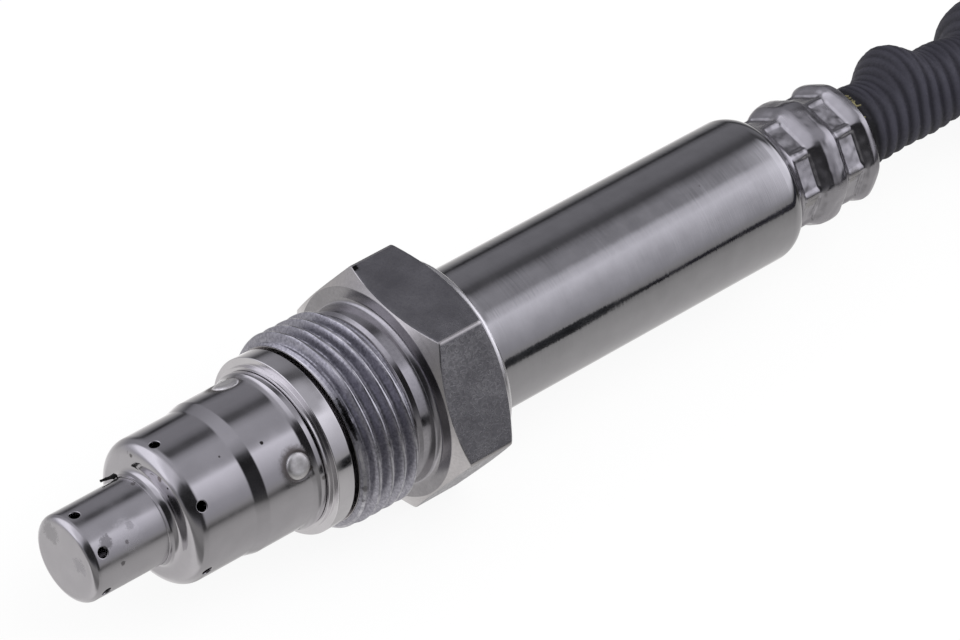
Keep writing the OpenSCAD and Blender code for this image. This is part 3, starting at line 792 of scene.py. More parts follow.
class Turned:
    """A turned surface on a grid of rings and columns, with round spots let into it."""

    def __init__(self, skin: Skin, columns: int = COLUMNS, start: float = 0.0) -> None:
        """Starts a surface on a skin, with its number of columns and the angle of the first."""
        self.skin = skin
        self.columns = columns
        self.start = start

    def turn_of(self, column: float) -> float:
        """Gives a column's angle in radians."""
        return self.start + math.tau * column / self.columns

    def cover(self, outline: Outline, spots: Sequence[Spot] = (), slot: int = 0,
              x_cells: int = 8) -> tuple[list[list[int]], list[list[int]]]:
        """Lays rings along an outline and bridges them.

        Args:
            outline: x and radius of each ring, in order.
            spots: round features, each on rings that lie evenly over its reach.
            slot: the material slot.
            x_cells: the number of ring cells over a spot's reach.

        Returns:
            The rings, and the innermost ring of each spot.
        """
        for x in sorted({s.x for s in spots}):
            reach = next(s.reach_x for s in spots if s.x == x)
            outline = with_stations(outline, [x - reach + 2 * reach * k / x_cells for k in range(x_cells + 1)])
        turns = [self.turn_of(c) for c in range(self.columns)]
        rings = [self.skin.ring([on_ring(x, r, t) for t in turns]) if r > ON_AXIS else [] for x, r in outline]
        holes: list[list[int]] = []
        blocked: dict[int, set[int]] = {}
        cell = math.tau / self.columns
        solid = [i for i, ring in enumerate(rings) if ring]
        for spot in spots:
            first = min(solid, key=lambda i: abs(outline[i][0] - (spot.x - spot.reach_x)))
            half = round(spot.reach_turn / cell)
            middle = round((spot.turn - self.start) / cell)
            for i in range(first, first + x_cells):
                blocked.setdefault(i, set()).update((middle + k) % self.columns for k in range(-half, half))
            patch = (first, first + x_cells, middle - half, middle + half)
            holes.append(self._let_in(outline, rings, spot, patch, slot))
        for i, (a, b) in enumerate(zip(rings, rings[1:])):
            if a and b:
                self.skin.bridge(a, b, slot, frozenset(blocked.get(i, ())))
            elif b:
                self.skin.fan(b, Vector((outline[i][0], 0, 0)), True, slot)
            elif a:
                self.skin.fan(a, Vector((outline[i + 1][0], 0, 0)), False, slot)
        return rings, holes

    def _let_in(self, outline: Outline, rings: list[list[int]], spot: Spot, patch: tuple[int, int, int, int],
                slot: int) -> list[int]:
        """Fills a spot's patch of the grid with round rings.

        Args:
            outline: the surface's outline.
            rings: the surface's rings.
            spot: the feature.
            patch: the patch's first and last ring, and its first and last column.
            slot: the material slot.

        Returns:
            The innermost ring's point numbers.
        """
        i0, i1, j0, j1 = patch
        way = [(i0, j) for j in range(j0, j1)] + [(i, j1) for i in range(i0, i1)]
        way += [(i1, j) for j in range(j1, j0, -1)] + [(i, j0) for i in range(i1, i0, -1)]
        base_r = radius_at(outline, spot.x)
        previous = [rings[i][j % self.columns] for i, j in way]
        flat = [Vector((outline[i][0] - spot.x, (self.turn_of(j) - spot.turn) * base_r)) for i, j in way]
        edge = spot.rings[0][0]
        steps = [(share, 0.0, 0.0) for share in (0.4, 0.75)] + [(1.0, radius, depth) for radius, depth in spot.rings]
        for share, radius, depth in steps:
            points = []
            for place in flat:
                out = place.normalized()
                at = out * radius if radius else place.lerp(out * edge, share)
                x = spot.x + at.x
                points.append(on_ring(x, radius_at(outline, x) - depth, spot.turn + at.y / base_r))
            ring = self.skin.ring(points)
            self.skin.bridge(previous, ring, spot.cap_slot if 0 < radius < spot.cap_r else slot)
            previous = ring
        if not spot.bored:
            apex_r = base_r - spot.rings[-1][1]
            self.skin.fan(previous, on_ring(spot.x, apex_r, spot.turn), False, spot.cap_slot)
        return previous


def turned_piece(name: str, outline: Outline, materials: Sequence[bpy.types.Material],
                 columns: int = COLUMNS) -> bpy.types.Object:
    """Makes a closed turned piece.

    Args:
        name: the piece's name.
        outline: the closed outline, outer side first towards +X; it may start and end on the axis.
        materials: its materials.
        columns: the number of columns round the axis.

    Returns:
        The piece.
    """
    skin = Skin(name)
    closed = outline[0][1] > ON_AXIS
    Turned(skin, columns).cover(outline + [outline[0]] if closed else outline)
    return skin.build(materials)


def hand_over(piece: bpy.types.Object, slot: str, *nodes: str, body: str = "sensor") -> None:
    """Lets a piece stand for CAD nodes.

    Args:
        piece: the piece.
        slot: the record's material slot for the piece's finish; it is not used.
        nodes: the CAD nodes that it stands for, if any.
        body: the body that it moves with.
    """
    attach(piece, body)
    if nodes:
        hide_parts(*nodes)
    LOG.info("%s: %d faces, for %s", piece.name, len(piece.data.polygons), ", ".join(nodes) or "itself")


def repaint(finishes: dict[str, bpy.types.Material]) -> None:
    """Gives CAD nodes that keep their shape a new material.

    Args:
        finishes: the nodes' names and their materials.
    """
    for name, material in finishes.items():
        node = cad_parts[name]
        node.data.materials.clear()
        node.data.materials.append(material)
        LOG.info("%s: painted %s", name, material.name)


# Studio


class Ray(Enum):
    """Kinds of ray that the white background is shown to."""

    CAMERA = "Is Camera Ray"
    GLOSSY = "Is Glossy Ray"


@dataclass
class Studio:
    """Camera, floor, surround and lamp.

    The photograph's place, turn and lens are in the first fields. Each side is what the probe's metal mirrors in one
    direction along its axis: grey levels at angles about the axis, from -180 to 180 degrees.
    """

    azimuth: float = -47.547
    elevation: float = 43.985
    roll: float = 8.624
    distance: float = 541.195
    focal_px: float = 5825.064
    width_px: float = 960.0
    sensor_mm: float = 36.0
    offset_x: float = -19.675
    offset_y: float = -12.125
    floor_z: float = -11.0
    floor_half: float = 900.0
    near_side: Pairs = (
        (-180, 0.2), (-177, 0.09), (-172, 0.32), (-164, 0.45), (-150, 0.5), (-95, 0.52), (-82, 0.47), (-73, 0.55),
        (-65, 0.7), (-57, 0.9), (-49, 1.1), (-41, 0.95), (-33, 0.7), (-25, 0.53), (-17, 0.4), (-9, 0.2), (-1, 0.02),
        (6, 0.2), (15, 0.29), (38, 0.28), (47, 0.22), (55, 0.1), (62, 0.11), (71, 0.39), (79, 0.48), (106, 0.45),
        (112, 0.55), (119, 0.98), (130, 0.82), (155, 0.46), (174, 0.36), (180, 0.2))
    far_side: Pairs = (
        (-180, 0.24), (-177, 0.14), (-173, 0.3), (-164, 0.4), (-140, 0.48), (-110, 0.54), (-88, 0.58), (-80, 0.56),
        (-73, 0.66), (-65, 0.78), (-57, 0.9), (-49, 1.15), (-41, 0.95), (-33, 0.62), (-25, 0.45), (-17, 0.34),
        (-9, 0.18), (-1, 0.03), (6, 0.16), (15, 0.24), (38, 0.23), (47, 0.19), (55, 0.12), (63, 0.09), (71, 0.2),
        (79, 0.28), (98, 0.31), (106, 0.75), (119, 0.9), (143, 0.56), (175, 0.34), (180, 0.24))
    front_side: Pairs = (
        (-180, 0.06), (-174, 0.3), (-160, 0.45), (-110, 0.55), (-75, 0.75), (-60, 0.95), (-45, 0.9), (-20, 0.5),
        (-5, 0.3), (6, 0.3), (35, 0.4), (60, 0.5), (90, 0.52), (106, 0.35), (114, 0.08), (122, 0.02), (165, 0.03),
        (180, 0.06))
    camera_side: Pairs = (
        (-180, 0.27), (-160, 0.28), (-143, 0.21), (-128, 0.27), (-115, 0.8), (-100, 0.8), (-75, 0.72), (-55, 0.68),
        (-35, 0.68), (-13, 0.55), (-5, 0.5), (5, 0.75), (13, 1.2), (47, 1.3), (58, 1.05), (70, 0.85), (88, 0.8),
        (100, 0.55), (110, 0.08), (122, 0.02), (150, 0.02), (160, 0.04), (170, 0.14), (180, 0.27))
    cable_side: Pairs = (
        (-180, 0.18), (-177, 0.09), (-171, 0.3), (-140, 0.48), (-88, 0.58), (-65, 0.75), (-49, 1.0), (-33, 0.62),
        (-17, 0.34), (-1, 0.04), (15, 0.24), (38, 0.2), (50, 0.09), (60, 0.09), (70, 0.6), (82, 0.95), (115, 1.2),
        (150, 1.0), (162, 0.7), (172, 0.3), (180, 0.18))
    cable_end: Pairs = (
        (-180, 0.06), (-172, 0.04), (20, 0.04), (32, 0.15), (48, 1.0), (110, 1.35), (155, 1.1), (168, 0.4), (180, 0.06))
    pole_level: float = 0.25
    room: tuple[float, float, float, float] = (0.95, 0.95, 0.96, 1.0)
    white: tuple[float, float, float, float] = (1.0, 1.0, 1.0, 1.0)
    cool: tuple[float, float, float, float] = (0.985, 0.975, 1.06, 1.0)
    warm: tuple[float, float, float, float] = (1.005, 0.99, 0.99, 1.0)
    paper: tuple[float, float, float, float] = (0.9, 0.9, 0.9, 1.0)
    lamp_m: tuple[float, float, float] = (0.25, -0.25, 0.6)
    lamp_aim_m: tuple[float, float, float] = (0.03, 0.0, 0.0)
    lamp_size_m: float = 0.5
    lamp_watts: float = 2.4

    def camera(self) -> None:
        """Places the camera at the photograph's angle, distance and lens."""
        az, el, roll = (math.radians(a) for a in (self.azimuth, self.elevation, self.roll))
        right = Vector((math.cos(az), math.sin(az), 0))
        up = Vector((-math.sin(az) * math.sin(el), math.cos(az) * math.sin(el), math.cos(el)))
        back = Vector((math.sin(az) * math.cos(el), -math.cos(az) * math.cos(el), math.sin(el)))
        side = math.cos(roll) * right + math.sin(roll) * up
        top = -math.sin(roll) * right + math.cos(roll) * up
        spot = (-self.offset_x * side - self.offset_y * top + self.distance * back) * MM
        lens = bpy.data.cameras.new("camera")
        lens.sensor_width = self.sensor_mm
        lens.lens = self.focal_px / self.width_px * self.sensor_mm
        lens.clip_start, lens.clip_end = 0.01, 20.0
        eye = bpy.data.objects.new("camera", lens)
        turn = Matrix((side, top, back)).transposed().to_4x4()
        eye.matrix_world = Matrix.Translation(spot) @ turn
        bpy.context.scene.collection.objects.link(eye)
        bpy.context.scene.camera = eye

    def mirrored(self, tree: Tree) -> Socket:
        """Gives the grey room that bright metal mirrors: a soft box, dark gaps and a pale floor.

        Args:
            tree: the world's node tree.

        Returns:
            The room's colour in every direction.
        """
        where = add_node(tree, "ShaderNodeTexCoord")
        split = add_node(tree, "ShaderNodeSeparateXYZ", links={0: where.outputs["Generated"]})
        angle = add_node(tree, "ShaderNodeMath", {"operation": "ARCTAN2"},
                         {0: split.outputs["Z"], 1: split.outputs["Y"]})
        share = add_node(tree, "ShaderNodeMath", {"operation": "MULTIPLY_ADD", 1: 1 / math.tau, 2: 0.5},
                         {0: angle.outputs[0]})
        near, far, front, behind, cable, end = (
            add_node(tree, "ShaderNodeValToRGB", links={"Fac": share.outputs[0]},
                     stops=[((turn + 180) / 360, level) for turn, level in side]).outputs["Color"]
            for side in (self.near_side, self.far_side, self.front_side, self.camera_side, self.cable_side,
                         self.cable_end))
        pole = add_node(tree, "ShaderNodeRGB")
        pole.outputs[0].default_value = (self.pole_level,) * 3 + (1.0,)
        levels = near
        for low, high, other in ((0.49, 0.56, far), (0.42, 0.15, front), (-0.05, -0.3, behind),
                                 (-0.94, -0.997, pole.outputs[0]), (0.556, 0.66, cable), (0.89, 0.95, end)):
            reach = add_node(tree, "ShaderNodeMapRange",
                             {"interpolation_type": "SMOOTHSTEP", "From Min": low, "From Max": high},
                             {"Value": split.outputs["X"]})
            levels = add_node(tree, "ShaderNodeMix", {"data_type": "RGBA"},
                              {"Factor": reach.outputs[0], MIX_A: levels, MIX_B: other}).outputs[MIX_RESULT]
        above = add_node(tree, "ShaderNodeValToRGB", links={"Fac": share.outputs[0]},
                         stops=[(0.0, 0.0), (0.44, 0.0), (0.5, 1.0), (0.96, 1.0), (1.0, 0.0)])
        tint = add_node(tree, "ShaderNodeMix", {"data_type": "RGBA", MIX_A: self.warm, MIX_B: self.cool},
                        {"Factor": above.outputs["Color"]})
        tinted = add_node(tree, "ShaderNodeMix", {"data_type": "RGBA", "blend_type": "MULTIPLY", "Factor": 1.0},
                          {MIX_A: levels, MIX_B: tint.outputs[MIX_RESULT]})
        return tinted.outputs[MIX_RESULT]

    def surround(self) -> None:
        """Lights the scene evenly from all sides, white to the camera, and shows its own room to bright metal."""
        world = bpy.data.worlds.new("studio")
        bpy.context.scene.world = world
        world.use_nodes = True
        tree = world.node_tree
        tree.nodes.clear()
        path = add_node(tree, "ShaderNodeLightPath")
        seen = add_node(tree, "ShaderNodeMix", {"data_type": "RGBA", MIX_A: self.room},
                        {"Factor": path.outputs[Ray.GLOSSY.value], MIX_B: self.mirrored(tree)})
        shown = add_node(tree, "ShaderNodeMix", {"data_type": "RGBA", MIX_B: self.white},
                         {"Factor": path.outputs[Ray.CAMERA.value], MIX_A: seen.outputs[MIX_RESULT]})
        glow = add_node(tree, "ShaderNodeBackground", {"Strength": 1.0}, {"Color": shown.outputs[MIX_RESULT]})
        add_node(tree, "ShaderNodeOutputWorld", links={"Surface": glow.outputs[0]})

    def floor(self) -> None:
        """Lays the pale floor, which is white to the camera and keeps a faint shadow."""
        half, z = self.floor_half, self.floor_z
        skin = Skin("floor")
        corners = ((-half, -half), (half, -half), (half, half), (-half, half))
        skin.face(skin.ring([Vector((x, y, z)) for x, y in corners]))
        material, tree, shader = new_material("matte_white_paper")
        shader.inputs["Base Color"].default_value = self.paper
        shader.inputs["Roughness"].default_value = 0.9
        path = add_node(tree, "ShaderNodeLightPath")
        glow = add_node(tree, "ShaderNodeEmission", {"Color": self.white, "Strength": 1.0})
        share = add_node(tree, "ShaderNodeMath", {"operation": "MULTIPLY", 1: 0.9}, {0: path.outputs[Ray.CAMERA.value]})
        mix = add_node(tree, "ShaderNodeMixShader",
                       links={0: share.outputs[0], 1: shader.outputs["BSDF"], 2: glow.outputs[0]})
        out = next(n for n in tree.nodes if n.type == "OUTPUT_MATERIAL")
        tree.links.new(mix.outputs[0], out.inputs["Surface"])
        plane = skin.build([material])
        plane.visible_glossy = False

    def lamp(self) -> None:
        """Hangs one wide soft lamp above, which shapes matte pieces and isn't mirrored as a disc."""
        light = bpy.data.lights.new("soft_lamp", "AREA")
        light.shape = "SQUARE"
        light.size = self.lamp_size_m
        light.energy = self.lamp_watts
        lamp = bpy.data.objects.new("soft_lamp", light)
        lamp.location = self.lamp_m
        lamp.rotation_euler = (Vector(self.lamp_aim_m) - Vector(self.lamp_m)).to_track_quat("-Z", "Y").to_euler()
        lamp.visible_glossy = False
        bpy.context.scene.collection.objects.link(lamp)

    def build(self) -> None:
        """Sets up the whole studio."""
        bpy.context.scene.view_settings.view_transform = "Standard"
        self.camera()
        self.surround()
        self.floor()
        self.lamp()


# The probe's pieces


@dataclass(frozen=True)
class Fold:
    """A swelling of the sheath, or a waist where its height is negative, at a distance from the neck."""

    out: float
    width: float
    height: float
    power: float = 2.0

    def at(self, out: float) -> float:
        """Gives how far it lifts the sheath at a distance from the neck."""
        return self.height * bell(out, self.out, self.width, self.power)


@dataclass
class Cable:
    """Ribbed conduit from the neck to the plug, its glass-fibre sleeve and the plug's own pieces."""

    diameter: float = 9.0
    exit_x: float = 74.05
    start_x: float = 70.1
    run: Pairs = (
        (78, 0), (86, 0), (91, -0.3), (96, -1.3), (102, -3.3), (107, -5.2), (112, -6.2), (118, -6.5), (126, -6.5),
        (132, -6.5))
    coil_x: float = 142.0
    coil_r: float = 46.0
    low_z: float = -6.5
    high_z: float = 2.65
    turns: float = 1.5
    turn_steps: int = 42
    leave_x: float = 132.0
    tail: Pairs = ((122, 2.65), (117, 2.3), (110, 0.9), (103, -0.6), (98, -1), (96.05, -1))
    rib_pitch: float = 1.6
    rib_depth: float = 0.3
    near_mm: float = 48.0
    near_step: float = 0.16
    far_step: float = 0.36
    sides: int = 40
    shrink: float = 0.1
    near_shrink: float = 0.42
    upper_folds: tuple[Fold, ...] = (Fold(9.2, 2.6, 2.34), Fold(15.2, 2.2, 0.45), Fold(23.3, 3.3, 3.3, 3.4),
                                     Fold(3.1, 1.9, 0.5))
    lower_fold: Fold = Fold(32.0, 3.0, 0.9)
    sag: Fold = Fold(15.0, 3.0, -0.22)
    fibre_n: int = 34
    fibre_sides: int = 5

    def route(self) -> list[Vector]:
        """Gives the centreline's guide points, in order, from the neck to the boot."""
        points = [Vector((self.start_x, 0, 0))] + [Vector((x, 0, z)) for x, z in self.run]
        for k in range(self.turn_steps + 1):
            turn = math.tau * self.turns * k / self.turn_steps
            rise = ease(math.radians(60), math.radians(320), turn)
            points.append(Vector((self.coil_x + self.coil_r * math.sin(turn), self.coil_r * (math.cos(turn) - 1),
                                  self.low_z + (self.high_z - self.low_z) * rise)))
        end_y = -2 * self.coil_r
        return points + [Vector((self.leave_x, end_y, self.high_z))] + [Vector((x, end_y, z)) for x, z in self.tail]

    def centreline(self) -> list[Vector]:
        """Smooths the guide points into one curve with points under half a millimetre apart."""
        guide = self.route()
        smooth: list[Vector] = []
        for i in range(len(guide) - 1):
            a, b = guide[i], guide[i + 1]
            before = guide[i - 1] if i else a * 2 - b
            after = guide[i + 2] if i + 2 < len(guide) else b * 2 - a
            count = max(2, math.ceil((b - a).length / 0.2))
            for k in range(count):
                t = k / count
                smooth.append(0.5 * (2 * a + (b - before) * t + (2 * before - 5 * a + 4 * b - after) * t * t
                                     + (3 * a - before - 3 * b + after) * t * t * t))
        return smooth + [guide[-1]]

    def rib(self, along: float, turn: float) -> float:
        """Gives the height on the sheath's ribs, which lean and wander a little.

        Args:
            along: the distance along the sheath.
            turn: the angle about its centreline, in radians.

        Returns:
            The height, from 0 in a valley to 1 on a crest.
        """
        swirl = along + 0.45 * math.sin(turn - 0.6) + 0.25 * math.sin(turn * 2 + along * 0.13)
        off = abs((math.degrees(turn) - 50 + 180) % 360 - 180)
        drawn = (1 - ease(20, 70, off)) * (1 - ease(self.near_mm - 20, self.near_mm, along))
        coarse, fine = (abs(math.sin(k * math.pi * swirl / self.rib_pitch)) - 0.6 for k in (1, 2))
        return 0.6 + coarse * (1 - drawn) + 0.5 * fine * drawn

    def radius(self, along: float, turn: float) -> float:
        """Gives the sheath's radius: fine ribs, and soft folds where the leads push it out near the neck.

        Args:
            along: the distance along the sheath.
            turn: the angle about its centreline, in radians.

        Returns:
            The radius.
        """
        out = along - (self.exit_x - self.start_x)
        near = 1 - ease(30, 60, out)
        base = self.diameter / 2 - near * ease(0, 3, out) * self.near_shrink - self.shrink
        rib = (2 * self.rib(along, turn) - 1.2) * (0.8 + 0.2 * math.sin(turn * 3 + along * 0.5))
        upper = ease(-0.6, 1.0, math.cos(turn - math.radians(28)))
        lower = ease(-0.2, 0.9, math.cos(turn + 1.2))
        folds = sum(fold.at(out) for fold in self.upper_folds) * upper + self.lower_fold.at(out) * lower
        wander = 0.05 * math.sin(along * 0.37 + 2 * turn) + 0.04 * math.sin(along * 0.83 - 3 * turn)
        return base + self.rib_depth * 0.5 * rib + near * (folds + self.sag.at(out)) + wander

    def stations(self, total: float) -> list[float]:
        """Gives the distances of the sheath's rings along it, closer together near the neck."""
        result: list[float] = []
        at = 0.0
        while at < total:
            result.append(at)
            at += self.near_step if at < self.near_mm else self.far_step
        return result + [total]

    def conduit(self, material: bpy.types.Material) -> None:
        line = self.centreline()
        lengths = [0.0]
        for a, b in zip(line, line[1:]):
            lengths.append(lengths[-1] + (b - a).length)
        total = lengths[-1]
        skin = Skin("conduit")
        rings: list[list[int]] = []
        turns = [math.tau * k / self.sides for k in range(self.sides)]
        place, side = 0, Vector((0, 1, 0))
        for s in self.stations(total):
            while place < len(line) - 2 and lengths[place + 1] < s:
                place += 1
            share = (s - lengths[place]) / max(1e-9, lengths[place + 1] - lengths[place])
            centre = line[place].lerp(line[place + 1], share)
            ahead = (line[min(place + 3, len(line) - 1)] - line[max(place - 2, 0)]).normalized()
            side = (side - ahead * side.dot(ahead)).normalized()
            up = ahead.cross(side)
            points = [centre + self.radius(s, t) * (math.cos(t) * side + math.sin(t) * up) for t in turns]
            # the rib heights also steer the painted crest light and valley shade
            rings.append(skin.ring(points, [self.rib(s, t) for t in turns]))
        for a, b in zip(rings, rings[1:]):
            skin.bridge(a, b)
        skin.fan(rings[0], line[0], True)
        skin.fan(rings[-1], line[-1], False)
        piece = skin.build([material], 80)
        hand_over(piece, "conduit", "conduit_run", "conduit_coil", "conduit_tail")

    def sleeve(self, material: bpy.types.Material, thread: bpy.types.Material) -> None:
        """Makes the glass-fibre sleeve in the neck, with loose ends that stand out of the lip.

        Args:
            material: the sleeve's finish.
            thread: the loose fibres' finish.
        """
        outline = rounded([(63.85, 4.56, 0), (63.85, 5.0, 0), (74.0, 5.0, 0), (74.2, 4.9, 0.1), (74.3, 4.58, 0.1),
                           (74.2, 4.56, 0), (63.85, 4.56, 0)])
        hand_over(turned_piece("glass_sleeve", outline, [material], 64), "glass_sleeve", "wire_sleeve")
        rng = random.Random(7)
        skin = Skin("sleeve_fibres")
        turns = [math.tau * k / self.fibre_sides for k in range(self.fibre_sides)]
        for _ in range(self.fibre_n):
            turn = math.radians(rng.triangular(86, 118, 103))
            r = rng.uniform(4.85, 5.7)
            a = on_ring(73.6, min(r, 5.5), turn)
            b = on_ring(74.15 + rng.uniform(0, 0.25), r, turn + rng.uniform(-0.05, 0.05))
            c = b + Vector((rng.uniform(0.1, 0.5), rng.uniform(-0.35, 0.35), rng.uniform(-0.25, 0.3)))
            thick = rng.uniform(0.06, 0.15)
            rings = []
            for p, q in ((a, b), (b, c), (c, c + (c - b) * 0.1)):
                ahead = (q - p).normalized()
                side = ahead.cross(Vector((0.3, 0.5, 0.8))).normalized()
                up = ahead.cross(side)
                rings.append(skin.ring([p + thick * (math.cos(t) * side + math.sin(t) * up) for t in turns]))
            skin.bridge(rings[0], rings[1])
            skin.bridge(rings[1], rings[2])
            skin.face(rings[2])
            skin.face(rings[0][::-1])
        hand_over(skin.build([thread]), "glass_sleeve")

    def build(self) -> None:
        """Builds and dresses the cable and its plug."""
        # soot and a painted shadow on the sheath where it goes into the lip
        lip_soot_and_shadow = Mark(75.2, 135, 4.2, 1.5, "060607", 0.9, 0.2)
        self.conduit(WovenSheath("woven_rubberised_sheath", marks=(lip_soot_and_shadow,)).make())
        glass = Moulded("braided_glass_fibre", "5C5438", "3A3524", 0.75, 1.5, 0.3, 0.05).make()
        loose = Moulded("loose_glass_fibre", "9A926A", "565136", 0.6, 1.5, 0.3, 0.01).make()
        self.sleeve(glass, loose)
        nylon = Moulded("moulded_glass_filled_nylon", "303236", "26282B", 0.5, 1.53, 0.35, 0.02).make()
        insert = Moulded("moulded_insert_nylon", "A6A59A", "96958A", 0.5, 1.53, 0.35, 0.02).make()
        seal = Moulded("moulded_silicone", "B4532A", "9C4522", 0.45, 1.42, 0.3, 0.01).make()
        rubber = Moulded("moulded_rubber", "26272A", "1E1F21", 0.6, 1.52, 0.3, 0.03).make()
        pins = TurnedSteel("nickel_plated_pin", "CFC9B8", "B8B2A2", 0.18, 0.3, 0.001, 0.4, 0.001, 0.3).make()
        repaint({"plug_body": nylon, "plug_insert": insert, "plug_seal": seal, "plug_boot": rubber, "plug_pins": pins,
                 "cable_grommet": rubber})


@dataclass
class TipTubes:
    """The two perforated tubes at the tip, with their gas holes and spot welds."""

    tip_x: float = -24.2
    tip_r: float = 4.46
    tip_edge: float = 0.9
    tip_wall: float = 0.4
    tip_end: float = -5.55
    flange_x: float = -6.05
    flange_r: float = 6.85
    tip_hole_x: float = 1.62
    tip_patch: float = 0.78
    tube_x: float = -14.6
    tube_r: float = 7.39
    tube_end: float = 0.25
    lip: float = 0.95
    sleeve_r: float = 7.73
    rim_r: float = 8.02
    rim_x: float = -0.36
    wall: float = 0.5
    shoulder: float = 1.6
    cone_x: float = -7.6
    cone_end: float = -6.2
    tube_hole_x: float = 1.65
    tube_patch: float = 0.8
    hole_r: float = 0.525
    hole_turn: float = 17.0
    hole_n: int = 6
    weld_x: float = -2.1
    weld_r: float = 1.3
    weld_turn: float = 55.0
    weld_patch: float = 1.75
    weld_n: int = 4
    crumb_x: float = -15.5
    crumb_turn: float = 40.0
    crumb_size: float = 0.3
    crumb_step: float = 0.2
    crumb_rings: int = 9
    crumb_sides: int = 7

    def holes(self, x: float, radius: float, reach: float) -> list[Spot]:
        """Gives a ring of gas holes.

        Args:
            x: the holes' place along the axis.
            radius: the tube's radius.
            reach: half the length of a hole's patch.

        Returns:
            The holes, each with a fine burr round its edge.
        """
        cell = math.tau / COLUMNS
        half = round(reach / radius / cell) * cell
        rims = ((self.hole_r + 0.07, 0.0), (self.hole_r + 0.025, 0.015), (self.hole_r, 0.06), (self.hole_r, 0.2))
        first = math.radians(self.hole_turn)
        return [Spot(x, first + math.tau * k / self.hole_n, reach, half, rims, True) for k in range(self.hole_n)]

    def pair(self, name: str, outer: Outline, inner: Outline, bores: Sequence[Spot],
             materials: Sequence[bpy.types.Material], welds: Sequence[Spot] = ()) -> bpy.types.Object:
        """Makes a tube from its outer and inner outlines, with holes bored through both.

        Args:
            name: the piece's name.
            outer: the outer outline, towards +X.
            inner: the inner outline, towards -X.
            bores: the holes in the outer side.
            materials: the tube's material, and the weld beads' where it has any.
            welds: spot welds on the outer side.

        Returns:
            The piece.
        """
        skin = Skin(name)
        lathe = Turned(skin, COLUMNS, math.radians(self.hole_turn))
        outside, starts = lathe.cover(outer, [*bores, *welds])
        through = [Spot(s.x, s.turn, s.reach_x, s.reach_turn, ((self.hole_r, 0.0),), True) for s in bores]
        first = len(skin.faces)
        inside, ends = lathe.cover(inner[::-1], through)
        skin.faces[first:] = [f[::-1] for f in skin.faces[first:]]
        for a, b in (*zip(starts, ends), (outside[-1], inside[-1]), (inside[0], outside[0])):
            if a and b:
                skin.bridge(a, b)
        return skin.build(materials, 50)

    def tip(self, material: bpy.types.Material) -> None:
        """Makes the small closed tip tube."""
        inner_r = self.tip_r - self.tip_wall
        floor_x = self.tip_x + self.tip_wall
        outer = rounded([(self.tip_x, 0, 0), (self.tip_x, self.tip_r - 0.02, self.tip_edge),
                         (self.flange_x, self.tip_r, 0.1), (self.flange_x, self.flange_r, 0.05),
                         (self.tip_end, self.flange_r, 0)])
        inner = rounded([(self.tip_end, inner_r, 0), (floor_x, inner_r, 0.5), (floor_x, 0, 0)])
        holes = self.holes(self.tip_x + self.tip_hole_x, self.tip_r, self.tip_patch)
        hand_over(self.pair("tip_tube", outer, inner, holes, [material]), "polished_steel", "inner_tube")

    def flake(self, material: bpy.types.Material) -> None:
        """Makes the crumb of soot that clings to the root of the small tube."""
        rng = random.Random(11)
        skin = Skin("soot_crumb")
        turns = [math.tau * n / self.crumb_sides for n in range(self.crumb_sides)]
        rings = []
        for k in range(self.crumb_rings):
            middle = on_ring(self.crumb_x - self.crumb_step * k, self.tip_r + 0.2 + 0.03 * k,
                             math.radians(self.crumb_turn - 0.4 * k))
            size = self.crumb_size * (1 - k / 14) if k else 0.2
            rings.append(skin.ring([middle + Vector((rng.uniform(-0.05, 0.05), math.cos(t), math.sin(t))) * size
                                    * rng.uniform(0.6, 1.1) for t in turns]))
        for a, b in zip(rings, rings[1:]):
            skin.bridge(b, a)
        skin.face(rings[0][::-1])
        skin.face(rings[-1])
        hand_over(skin.build([material]), "polished_steel")

    def weld_spots(self) -> list[Spot]:
        """Gives the weld beads: a low dome in a shallow ring that shrank into the tube, on the grid's columns."""
        edge = self.weld_r
        rims = ((edge + 0.26, 0.0), (edge + 0.15, 0.01), (edge + 0.06, 0.035), (edge, 0.04), (edge - 0.03, 0.0),
                (edge - 0.1, -0.06), (edge - 0.25, -0.11), (edge * 0.65, -0.15), (edge * 0.45, -0.14),
                (edge * 0.25, -0.115), (0.08, -0.1))
        cell = math.tau / COLUMNS
        half = round(self.weld_patch / self.sleeve_r / cell) * cell
        start = math.radians(self.hole_turn)
        spots = []
        for k in range(self.weld_n):
            away = math.radians(self.weld_turn + 360 / self.weld_n * k - self.hole_turn)
            turn = start + round(away / cell) * cell
            spots.append(Spot(self.weld_x, turn, self.weld_patch, half, rims, False, edge - 0.01, 1))
        return spots

    def large(self, material: bpy.types.Material, bead: bpy.types.Material) -> None:
        """Makes the large outer tube with its shoulder, cone and flared rim, and its weld beads.

        Args:
            material: the tube's finish.
            bead: the weld beads' finish.
        """
        front = self.tip_r + 0.01
        lip_x = self.tube_x - self.lip
        outer = rounded([(lip_x, front, 0), (lip_x + 0.02, front + 0.04, 0.01), (self.tube_x - 0.02, front + 0.1, 0.75),
                         (self.tube_x, front + 1.3, 0.4), (self.tube_x + 0.03, self.tube_r, self.shoulder),
                         (self.cone_x, self.tube_r, 1.2), (self.cone_end, self.sleeve_r, 1.0),
                         (self.rim_x - 0.03, self.sleeve_r, 0.08), (self.rim_x, self.rim_r, 0.06),
                         (self.tube_end - 0.001, self.rim_r, 0.04), (self.tube_end, self.rim_r - 0.15, 0)], 6.0)
        wide = self.sleeve_r - self.wall
        slim = self.tube_r - self.wall
        back_x = self.tube_x + self.wall
        inner = [(self.tube_end, self.rim_r - 0.15)]
        inner += rounded([(self.tube_end, wide, 0), (self.cone_end, wide, 0.8), (self.cone_x, slim, 0.8),
                          (back_x, slim, self.shoulder - self.wall), (back_x, front, 0), (lip_x, front, 0)])
        holes = self.holes(self.tube_x + self.tube_hole_x, self.tube_r, self.tube_patch)
        tube = self.pair("outer_tube_skin", self.stretch(outer), inner, holes, [material, bead], self.weld_spots())
        hand_over(tube, "polished_steel", "outer_tube")

